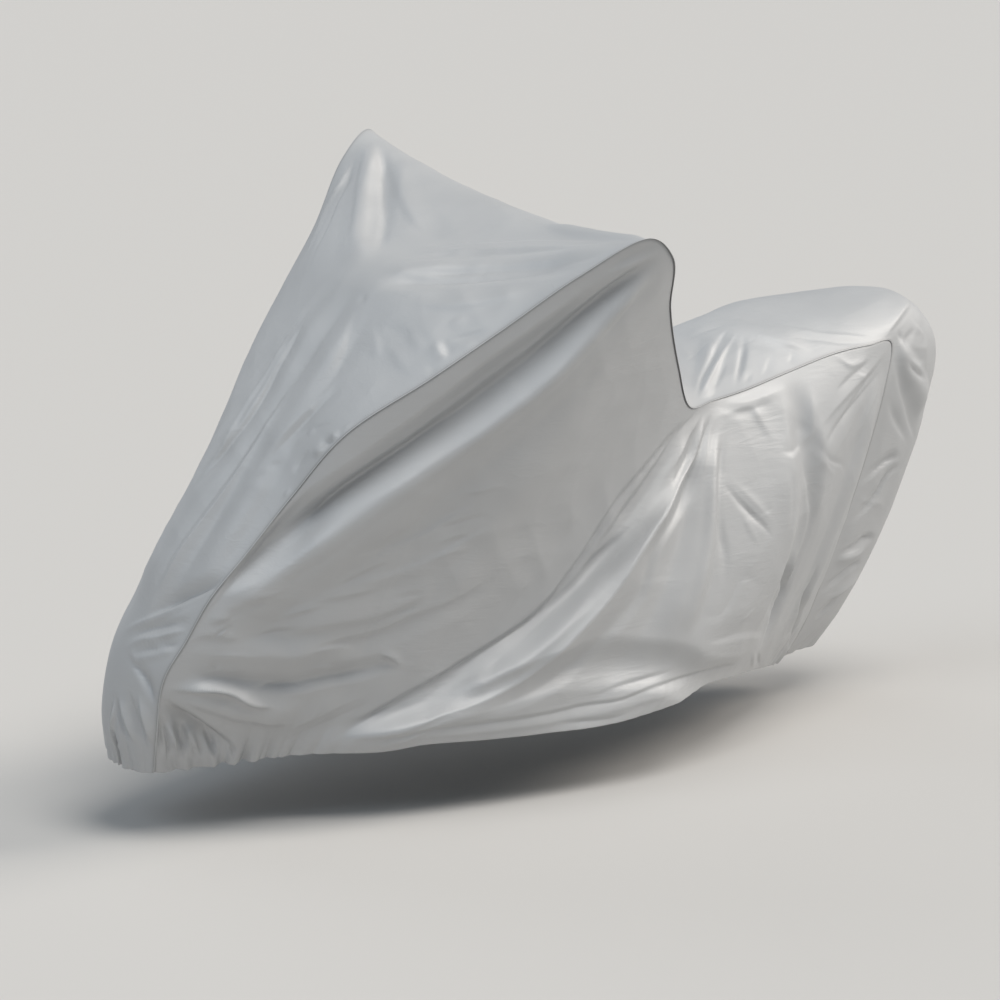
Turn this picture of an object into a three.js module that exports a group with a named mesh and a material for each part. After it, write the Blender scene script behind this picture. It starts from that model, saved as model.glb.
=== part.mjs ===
// A fitted motorcycle cover: three sewn panels of coated cloth, as they drape when the cover is on.
//
// Lengths are millimetres. The tables give the cover upright: x runs from its front to its rear, y from
// its left to its right and z up from the floor. The finished cover is then leaned to its left, and its
// origin is set under its top, midway between the two tips of the hood.

import * as THREE from "three";

const clothThickness = 2;
const seamGap = 0.3;
const foldFade = 0.22;
const seamCalm = 0.06;
const leanAngle = THREE.MathUtils.degToRad(12);
const origin = new THREE.Vector3(-155, 0, 1127);

const columnsPerStation = 3;
const rowsAcross = { left: 22, right: 12, strip: 14 };

const cloth = {
  left: { color: 0xa6a8aa, roughness: 0.5, metalness: 0.25 },
  right: { color: 0xa3a5a8, roughness: 0.5, metalness: 0.25 },
  strip: { color: 0xb0b5bc, roughness: 0.5, metalness: 0.25 },
};

// The lines that the cloth follows from the front hem to the rear hem. The side seam and the hem have
// half widths, the same on both sides; rightX and rightZ then move the right seam. Belly is how far the
// side panel stands out between its seam and its hem, and crown how round the strip is across: 2 is a
// parabola, less is a ridge, more is flat.
const stationColumns = [
  "seamX", "seamY", "seamZ", "rightX", "rightZ", "middleX", "middleZ", "hemX", "hemY", "hemZ", "belly", "crown",
];
const stationRows = {
  frontHem: [-905, 80, 142, 12, 0, -925, 128, -885, 86, 140, 0, 2.0],
  frontLip: [-922, 95, 225, 26, 0, -950, 215, -862, 93, 142, 4, 2.0],
  frontBulge: [-930, 105, 336, 52, 0, -938, 350, -835, 102, 145, 10, 2.0],
  frontCrest: [-903, 122, 415, 78, 0, -902, 440, -805, 111, 148, 18, 1.8],
  frontFoot: [-872, 135, 494, 96, 0, -872, 520, -778, 122, 153, 24, 1.7],
  lowerSlope: [-815, 152, 580, 112, 0, -820, 620, -752, 134, 158, 28, 1.6],
  slope: [-745, 175, 690, 122, 0, -754, 725, -725, 147, 163, 30, 1.7],
  upperSlope: [-680, 220, 812, 134, 0, -676, 835, -695, 162, 169, 28, 1.75],
  cheek: [-550, 280, 923, 122, 0, -592, 950, -665, 178, 174, 20, 1.7],
  nose: [-435, 320, 1014, 100, 4, -505, 1045, -640, 191, 178, 12, 1.7],
  brow: [-306, 370, 1122, 62, 6, -330, 1092, -612, 206, 182, 6, 2.0],
  tipFront: [-184, 410, 1194, 34, -20, -160, 1133, -585, 219, 185, 2, 2.2],
  tipBack: [-115, 408, 1154, -6, 2, -100, 1122, -560, 231, 187, 2, 2.2],
  hoodBack: [-30, 345, 1030, 0, 0, 30, 1010, -525, 248, 190, 8, 2.0],
  hoodFoot: [100, 270, 880, 0, 0, 160, 890, -480, 269, 196, 20, 2.0],
  waist: [200, 225, 775, 0, 0, 270, 800, -430, 292, 205, 36, 2.0],
  ledgeFront: [300, 190, 767, 0, 0, 350, 792, -330, 330, 211, 44, 2.2],
  ledgeStep: [400, 178, 775, 0, -18, 430, 812, -210, 364, 216, 46, 2.2],
  humpFront: [530, 165, 795, 0, -22, 520, 838, -60, 388, 219, 44, 2.6],
  humpMiddle: [675, 155, 818, 0, 6, 680, 862, 110, 384, 230, 40, 2.8],
  humpRear: [790, 145, 822, 0, 10, 850, 874, 270, 342, 229, 34, 2.4],
  tailCorner: [885, 125, 812, 0, 6, 1030, 866, 420, 276, 205, 28, 2.2],
  tail: [872, 140, 733, 0, 0, 1140, 770, 500, 235, 186, 24, 2.4],
  rump: [853, 140, 586, 0, 0, 1145, 600, 575, 195, 165, 20, 2.4],
  lowerRump: [828, 140, 470, 0, 0, 1120, 460, 630, 166, 150, 16, 2.4],
  rearSlope: [800, 132, 330, 0, 0, 1075, 320, 680, 138, 136, 10, 2.3],
  rearLip: [777, 115, 198, 0, 0, 1010, 195, 715, 120, 128, 4, 2.2],
  rearHem: [754, 100, 128, 0, 0, 945, 105, 738, 108, 125, 0, 2.0],
};

// The folds. A fold runs from one point to another over its panel, bowed sideways by some millimetres
// at its middle. It has a half width at its start, its middle and its end, and a height, below nought
// for a trough, that dies out at both ends. Above nought, skew widens its left-hand side, as seen from
// outside along the fold, and narrows the other.
const foldColumns = [
  "x1", "y1", "z1", "x2", "y2", "z2", "bow", "wideStart", "wideMiddle", "wideEnd", "high", "skew",
];
const foldRows = {
  left: {
    hoodTrough: [-190, -400, 1140, -925, -105, 445, -6, 34, 46, 44, -20, 0],
    hoodBand: [-150, -395, 1080, -899, -122, 400, 4, 40, 56, 50, 16, 0.2],
    waistLap: [205, -223, 757, -660, -185, 185, 128, 40, 112, 56, 44, 0.4],
    hemTuck: [-600, -206, 210, 464, -259, 222, 72, 36, 44, 40, -14, 0],
    flankRib: [260, -208, 748, 69, -369, 344, 38, 44, 60, 66, 12, 0],
    flankTrough: [540, -170, 790, 450, -262, 240, 24, 44, 58, 66, -16, 0],
    tailRib: [840, -140, 780, 640, -180, 200, -20, 40, 50, 50, 12, 0],
    frontRib: [-905, -112, 330, -660, -190, 262, -14, 36, 44, 40, 10, 0],
  },
  strip: {
    noseRidge: [-500, 0, 1045, -945, 0, 330, 0, 40, 60, 50, 10, 0],
    rightTipRidge: [-170, 380, 1165, -515, -10, 1040, 0, 30, 48, 44, 13, 0],
    rightTipTrough: [-165, 320, 1155, -470, 20, 1060, 0, 30, 40, 40, -9, 0],
    leftTipRidge: [-500, -40, 1046, -200, -370, 1172, 0, 36, 46, 30, 9, 0],
    leftTipCrown: [-165, -405, 1190, -160, -120, 1140, 0, 30, 40, 40, 9, 0],
    cheekTrough: [-520, -70, 1030, -280, -350, 1140, 8, 30, 36, 30, -8, 0],
    slopeRib: [-530, -70, 1015, -880, -95, 480, 10, 30, 40, 34, 8, 0],
    stepRidge: [430, 60, 810, 640, -130, 824, 0, 40, 54, 44, 8, 0],
    stepRib: [270, -190, 772, 470, -10, 836, 0, 20, 30, 30, 8, 0],
    tailFold: [880, -110, 815, 1100, -60, 620, 0, 24, 40, 44, 10, 0],
    backTrough: [-60, 250, 1080, 200, 150, 820, 0, 50, 64, 54, -14, 0],
    backRib: [-60, -120, 1080, 230, -160, 800, 0, 50, 64, 54, 10, 0],
  },
  right: {
    hoodTrough: [-190, 395, 1130, -840, 105, 440, 8, 44, 56, 50, -16, 0],
    waistLap: [205, 222, 750, -560, 220, 195, -90, 40, 96, 60, 32, -0.3],
    flankRib: [330, 190, 750, 60, 370, 300, 20, 44, 66, 66, 14, 0],
    flankTrough: [560, 168, 780, 430, 280, 260, -20, 44, 60, 66, -16, 0],
    tailRib: [840, 140, 760, 660, 170, 200, 20, 44, 56, 56, 12, 0],
  },
};

function readRow(columns, row) {
  return Object.fromEntries(columns.map((column, i) => [column, row[i]]));
}

const stations = Object.values(stationRows).map((row) => readRow(stationColumns, row));
const lastStation = stations.length - 1;

function readFolds(rows) {
  return Object.values(rows).map((row) => {
    const fold = readRow(foldColumns, row);
    fold.from = new THREE.Vector3(fold.x1, fold.y1, fold.z1);
    fold.run = new THREE.Vector3(fold.x2, fold.y2, fold.z2).sub(fold.from);
    return fold;
  });
}

const folds = {
  left: readFolds(foldRows.left),
  strip: readFolds(foldRows.strip),
  right: readFolds(foldRows.right),
};

function rail(pointOf) {
  return new THREE.CatmullRomCurve3(stations.map(pointOf), false, "centripetal");
}

const seamRail = {
  left: rail((s) => new THREE.Vector3(s.seamX, -s.seamY, s.seamZ)),
  right: rail((s) => new THREE.Vector3(s.seamX + s.rightX, s.seamY, s.seamZ + s.rightZ)),
};
const middleRail = rail((s) => new THREE.Vector3(s.middleX, 0, s.middleZ));
const hemRail = {
  left: rail((s) => new THREE.Vector3(s.hemX, -s.hemY, s.hemZ)),
  right: rail((s) => new THREE.Vector3(s.hemX, s.hemY, s.hemZ)),
};
const shapeRail = rail((s) => new THREE.Vector3(s.belly, 100 * s.crown, 0));

function along(curve, station) {
  return curve.getPoint(THREE.MathUtils.clamp(station / lastStation, 0, 1));
}

function smooth(value, low, high) {
  return THREE.MathUtils.smoothstep(value, low, high);
}

// The smooth side panel: down is 0 at the seam and 1 at the hem.
function sidePoint(side, station, down) {
  const point = along(seamRail[side], station).lerp(along(hemRail[side], station), down);
  point.y += Math.sign(point.y) * along(shapeRail, station).x * 4 * down * (1 - down);
  return point;
}

// The smooth strip: across is -1 at the left seam, 0 in the middle and 1 at the right seam.
function stripPoint(station, across) {
  const seam = along(across < 0 ? seamRail.left : seamRail.right, station);
  const middle = along(middleRail, station);
  const reach = Math.abs(across) ** (along(shapeRail, station).y / 100);
  return new THREE.Vector3(
    THREE.MathUtils.lerp(middle.x, seam.x, reach),
    seam.y * Math.abs(across),
    THREE.MathUtils.lerp(middle.z, seam.z, reach),
  );
}

const panels = {
  left: { surface: (s, t) => sidePoint("left", s, 1 - t), seams: { 1: "left" } },
  strip: { surface: (s, t) => stripPoint(s, 2 * t - 1), seams: { 0: "left", 1: "right" } },
  right: { surface: (s, t) => sidePoint("right", s, t), seams: { 0: "right" } },
};

// The outward normal of a surface, from the steps on both sides of a place.
function normalAt(surface, station, across) {
  const step = 0.02;
  const limit = (value, top) => THREE.MathUtils.clamp(value, 0, top);
  const stepAlong = surface(limit(station + step, lastStation), across)
    .sub(surface(limit(station - step, lastStation), across));
  const stepAcross = surface(station, limit(across + step, 1))
    .sub(surface(station, limit(across - step, 1)));
  return stepAlong.cross(stepAcross).normalize();
}

function foldHeight(fold, point, normal) {
  const offset = point.clone().sub(fold.from);
  const length = fold.run.length();
  const part = offset.dot(fold.run) / (length * length);
  if (part <= 0 || part >= 1) return 0;
  const middle = 4 * part * (1 - part);
  const wide = THREE.MathUtils.lerp(fold.wideStart, fold.wideEnd, part)
    + (fold.wideMiddle - (fold.wideStart + fold.wideEnd) / 2) * middle;
  const sideways = normal.clone().cross(fold.run).normalize();
  const away = offset.addScaledVector(fold.run, -part).dot(sideways) - fold.bow * middle;
  const reach = away / (wide * (1 + Math.sign(away) * fold.skew));
  if (Math.abs(reach) >= 1) return 0;
  const ends = smooth(part, 0, foldFade) * smooth(1 - part, 0, foldFade);
  return fold.high * ends * (1 - reach * reach) ** 2;
}

// The panel's surface with its folds, which die out towards the seams.
function foldedPoint(name, station, across) {
  const { surface, seams } = panels[name];
  const point = surface(station, across);
  const normal = normalAt(surface, station, across);
  const calm = Object.keys(seams)
    .reduce((share, edge) => share * smooth(Math.abs(across - edge), 0, seamCalm), 1);
  const height = folds[name].reduce((sum, fold) => sum + foldHeight(fold, point, normal), 0);
  return point.addScaledVector(normal, height * calm);
}

// Both panels at a seam share its outward direction, and lie half the gap to either side of it.
function seamFrame(side, station) {
  const [sideEdge, stripEdge] = side === "left" ? [1, 0] : [0, 1];
  const normal = normalAt(panels[side].surface, station, sideEdge)
    .add(normalAt(panels.strip.surface, station, stripEdge))
    .normalize();
  const step = 0.02;
  const runs = along(seamRail[side], station + step).sub(along(seamRail[side], station - step));
  const toStrip = normal.clone().cross(runs).normalize();
  if (side === "right") toStrip.negate();
  return { normal, toStrip };
}

// The outward normals of a grid of points, each summed over the faces round it.
function gridNormals(points, columns, rows) {
  const normals = points.map(() => new THREE.Vector3());
  const at = (i, j) => i * (rows + 1) + j;
  for (let i = 0; i < columns; i++) {
    for (let j = 0; j < rows; j++) {
      const corners = [at(i, j), at(i + 1, j), at(i + 1, j + 1), at(i, j + 1)];
      const [a, b, c, d] = corners.map((corner) => points[corner]);
      const face = c.clone().sub(a).cross(d.clone().sub(b));
      corners.forEach((corner) => normals[corner].add(face));
    }
  }
  return normals.map((normal) => normal.normalize());
}

function panelGrid(name, rows) {
  const columns = lastStation * columnsPerStation;
  const outer = [];
  for (let i = 0; i <= columns; i++) {
    for (let j = 0; j <= rows; j++) outer.push(foldedPoint(name, i / columnsPerStation, j / rows));
  }
  const normals = gridNormals(outer, columns, rows);
  for (const [edge, side] of Object.entries(panels[name].seams)) {
    for (let i = 0; i <= columns; i++) {
      const corner = i * (rows + 1) + edge * rows;
      const { normal, toStrip } = seamFrame(side, i / columnsPerStation);
      outer[corner].addScaledVector(toStrip, (name === "strip" ? seamGap : -seamGap) / 2);
      normals[corner].copy(normal);
    }
  }
  const inner = outer.map((point, i) => point.clone().addScaledVector(normals[i], -clothThickness));
  return { outer, inner, columns, rows };
}

// A closed sheet: the outer and the inner grid, joined round their edge.
function sheet({ outer, inner, columns, rows }) {
  const points = [...outer, ...inner];
  const inside = outer.length;
  const at = (i, j) => i * (rows + 1) + j;
  const faces = [];
  const quad = (a, b, c, d) => faces.push(a, b, c, a, c, d);
  for (let i = 0; i < columns; i++) {
    for (let j = 0; j < rows; j++) {
      quad(at(i, j), at(i + 1, j), at(i + 1, j + 1), at(i, j + 1));
      quad(inside + at(i, j), inside + at(i, j + 1), inside + at(i + 1, j + 1), inside + at(i + 1, j));
    }
    quad(at(i, 0), inside + at(i, 0), inside + at(i + 1, 0), at(i + 1, 0));
    quad(at(i, rows), at(i + 1, rows), inside + at(i + 1, rows), inside + at(i, rows));
  }
  for (let j = 0; j < rows; j++) {
    quad(at(0, j), at(0, j + 1), inside + at(0, j + 1), inside + at(0, j));
    quad(at(columns, j), inside + at(columns, j), inside + at(columns, j + 1), at(columns, j + 1));
  }
  const geometry = new THREE.BufferGeometry();
  geometry.setAttribute("position", new THREE.Float32BufferAttribute(points.flatMap((p) => p.toArray()), 3));
  geometry.setIndex(faces);
  return geometry;
}

const cover = new THREE.Group();
for (const [name, meshName] of [["left", "left_panel"], ["strip", "centre_panel"], ["right", "right_panel"]]) {
  const geometry = sheet(panelGrid(name, rowsAcross[name]));
  geometry.translate(-origin.x, -origin.y, -origin.z);
  const mesh = new THREE.Mesh(geometry, new THREE.MeshStandardMaterial(cloth[name]));
  mesh.name = meshName;
  cover.add(mesh);
}
cover.rotation.x = leanAngle;

const part = new THREE.Group();
part.add(cover);

export default part;
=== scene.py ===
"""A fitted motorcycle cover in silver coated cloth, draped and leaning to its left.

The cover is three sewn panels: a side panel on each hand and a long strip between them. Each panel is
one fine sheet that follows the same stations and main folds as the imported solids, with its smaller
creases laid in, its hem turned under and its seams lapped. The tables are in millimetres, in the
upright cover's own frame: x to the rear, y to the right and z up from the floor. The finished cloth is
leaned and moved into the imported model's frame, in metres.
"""

import logging
import math
from dataclasses import dataclass, field
from enum import Enum
from typing import Callable, Optional, Sequence, Union

import bmesh
import bpy
import numpy as np
from mathutils import Matrix, Vector


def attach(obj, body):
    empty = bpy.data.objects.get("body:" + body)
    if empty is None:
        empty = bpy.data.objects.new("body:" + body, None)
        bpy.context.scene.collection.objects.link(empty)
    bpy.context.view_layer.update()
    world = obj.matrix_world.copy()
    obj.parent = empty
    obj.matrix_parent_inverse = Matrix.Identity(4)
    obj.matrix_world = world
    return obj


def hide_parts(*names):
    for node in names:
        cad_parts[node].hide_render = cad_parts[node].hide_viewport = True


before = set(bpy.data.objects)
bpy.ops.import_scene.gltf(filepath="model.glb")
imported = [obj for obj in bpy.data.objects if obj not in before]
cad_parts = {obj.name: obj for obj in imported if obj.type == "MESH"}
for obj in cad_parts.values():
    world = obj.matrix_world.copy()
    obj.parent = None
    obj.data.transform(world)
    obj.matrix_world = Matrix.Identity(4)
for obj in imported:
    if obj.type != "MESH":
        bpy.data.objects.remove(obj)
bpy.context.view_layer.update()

LOG = logging.getLogger("cover")

Array = np.ndarray
MM = 0.001

LEAN = math.radians(12.0)
ORIGIN = np.array([-155.0, 0.0, 1127.0])
FOLD_FADE = 0.22
SEAM_CALM = 0.06

STATION_COLUMNS = (
    "seam_x", "seam_y", "seam_z", "right_x", "right_z", "middle_x", "middle_z",
    "hem_x", "hem_y", "hem_z", "belly", "crown",
)
STATIONS: dict[str, tuple[float, ...]] = {
    "front_hem": (-905, 80, 142, 12, 0, -925, 128, -885, 86, 140, 0, 2.0),
    "front_lip": (-922, 95, 225, 26, 0, -950, 215, -862, 93, 142, 4, 2.0),
    "front_bulge": (-930, 105, 336, 52, 0, -938, 350, -835, 102, 145, 10, 2.0),
    "front_crest": (-903, 122, 415, 78, 0, -902, 440, -805, 111, 148, 18, 1.8),
    "front_foot": (-872, 135, 494, 96, 0, -872, 520, -778, 122, 153, 24, 1.7),
    "lower_slope": (-815, 152, 580, 112, 0, -820, 620, -752, 134, 158, 28, 1.6),
    "slope": (-745, 175, 690, 122, 0, -754, 725, -725, 147, 163, 30, 1.7),
    "upper_slope": (-680, 220, 812, 134, 0, -676, 835, -695, 162, 169, 28, 1.75),
    "cheek": (-550, 280, 923, 122, 0, -592, 950, -665, 178, 174, 20, 1.7),
    "nose": (-435, 320, 1014, 100, 4, -505, 1045, -640, 191, 178, 12, 1.7),
    "brow": (-306, 370, 1122, 62, 6, -330, 1092, -612, 206, 182, 6, 2.0),
    "tip_front": (-184, 410, 1194, 34, -20, -160, 1133, -585, 219, 185, 2, 2.2),
    "tip_back": (-115, 408, 1154, -6, 2, -100, 1122, -560, 231, 187, 2, 2.2),
    "hood_back": (-30, 345, 1030, 0, 0, 30, 1010, -525, 248, 190, 8, 2.0),
    "hood_foot": (100, 270, 880, 0, 0, 160, 890, -480, 269, 196, 20, 2.0),
    "waist": (200, 225, 775, 0, 0, 270, 800, -430, 292, 205, 36, 2.0),
    "ledge_front": (300, 190, 767, 0, 0, 350, 792, -330, 330, 211, 44, 2.2),
    "ledge_step": (400, 178, 775, 0, -18, 430, 812, -210, 364, 216, 46, 2.2),
    "hump_front": (530, 165, 795, 0, -22, 520, 838, -60, 388, 219, 44, 2.6),
    "hump_middle": (675, 155, 818, 0, 6, 680, 862, 110, 384, 230, 40, 2.8),
    "hump_rear": (790, 145, 822, 0, 10, 850, 874, 270, 342, 229, 34, 2.4),
    "tail_corner": (885, 125, 812, 0, 6, 1030, 866, 420, 276, 205, 28, 2.2),
    "tail": (872, 140, 733, 0, 0, 1140, 770, 500, 235, 186, 24, 2.4),
    "rump": (853, 140, 586, 0, 0, 1145, 600, 575, 195, 165, 20, 2.4),
    "lower_rump": (828, 140, 470, 0, 0, 1120, 460, 630, 166, 150, 16, 2.4),
    "rear_slope": (800, 132, 330, 0, 0, 1075, 320, 680, 138, 136, 10, 2.3),
    "rear_lip": (777, 115, 198, 0, 0, 1010, 195, 715, 120, 128, 4, 2.2),
    "rear_hem": (754, 100, 128, 0, 0, 945, 105, 738, 108, 125, 0, 2.0),
}

FOLD_COLUMNS = (
    "x1", "y1", "z1", "x2", "y2", "z2", "bow", "wide_start", "wide_middle", "wide_end", "high", "skew",
)
FoldTable = dict[str, tuple[float, ...]]
LEFT_FOLDS: FoldTable = {
    "hood_trough": (-190, -400, 1140, -925, -105, 445, -6, 34, 46, 44, -20, 0),
    "hood_band": (-150, -395, 1080, -899, -122, 400, 4, 40, 56, 50, 16, 0.2),
    "waist_lap": (205, -223, 757, -660, -185, 185, 128, 40, 112, 56, 44, 0.4),
    "hem_tuck": (-600, -206, 210, 464, -259, 222, 72, 36, 44, 40, -14, 0),
    "flank_rib": (260, -208, 748, 69, -369, 344, 38, 44, 60, 66, 12, 0),
    "flank_trough": (540, -170, 790, 450, -262, 240, 24, 44, 58, 66, -16, 0),
    "tail_rib": (840, -140, 780, 640, -180, 200, -20, 40, 50, 50, 12, 0),
    "front_rib": (-905, -112, 330, -660, -190, 262, -14, 36, 44, 40, 10, 0),
}
STRIP_FOLDS: FoldTable = {
    "nose_ridge": (-500, 0, 1045, -945, 0, 330, 0, 40, 60, 50, 10, 0),
    "right_tip_ridge": (-170, 380, 1165, -515, -10, 1040, 0, 30, 48, 44, 13, 0),
    "right_tip_trough": (-165, 320, 1155, -470, 20, 1060, 0, 30, 40, 40, -9, 0),
    "left_tip_ridge": (-500, -40, 1046, -200, -370, 1172, 0, 36, 46, 30, 9, 0),
    "left_tip_crown": (-165, -405, 1190, -160, -120, 1140, 0, 30, 40, 40, 9, 0),
    "cheek_trough": (-520, -70, 1030, -280, -350, 1140, 8, 30, 36, 30, -8, 0),
    "slope_rib": (-530, -70, 1015, -880, -95, 480, 10, 30, 40, 34, 8, 0),
    "step_ridge": (430, 60, 810, 640, -130, 824, 0, 40, 54, 44, 8, 0),
    "step_rib": (270, -190, 772, 470, -10, 836, 0, 20, 30, 30, 8, 0),
    "tail_fold": (880, -110, 815, 1100, -60, 620, 0, 24, 40, 44, 10, 0),
    "back_trough": (-60, 250, 1080, 200, 150, 820, 0, 50, 64, 54, -14, 0),
    "back_rib": (-60, -120, 1080, 230, -160, 800, 0, 50, 64, 54, 10, 0),
}
RIGHT_FOLDS: FoldTable = {
    "hood_trough": (-190, 395, 1130, -840, 105, 440, 8, 44, 56, 50, -16, 0),
    "waist_lap": (205, 222, 750, -560, 220, 195, -90, 40, 96, 60, 32, -0.3),
    "flank_rib": (330, 190, 750, 60, 370, 300, 20, 44, 66, 66, 14, 0),
    "flank_trough": (560, 168, 780, 430, 280, 260, -20, 44, 60, 66, -16, 0),
    "tail_rib": (840, 140, 760, 660, 170, 200, 20, 44, 56, 56, 12, 0),
}

PhotoPath = tuple[tuple[float, float], ...]


@dataclass(frozen=True)
class Traced:
    """A crease as it was traced on the photograph.

    It has its half width in millimetres at its start, middle and end, its height, its roundness, from 1
    for a sharp line to 2 for a soft one, and its skew, above nought where its left-hand side is the wider
    one. Its path is in the photograph's pixels, from its left and its top. Drawn is how much wider and
    higher the cloth has it. Without it, SOFTENED says so. A plain one keeps the skew that it was given.
    """

    wide: tuple[float, float, float]
    high: float
    round: float
    skew: float
    path: PhotoPath
    drawn: Optional[tuple[float, float]] = None
    plain: bool = False


TracedTable = dict[str, Traced]

# How a traced crease is softened: up to this half width, times as wide, times as high, how round at most.
SOFTENED = ((12, 1.9, 0.5, 1.05), (20, 1.5, 0.6, 1.15), (math.inf, 1.1, 0.8, math.inf))
LEAST_SKEW = 0.3
USUAL_SKEW = 0.5
SKEWED_WIDER = 1.15

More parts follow.
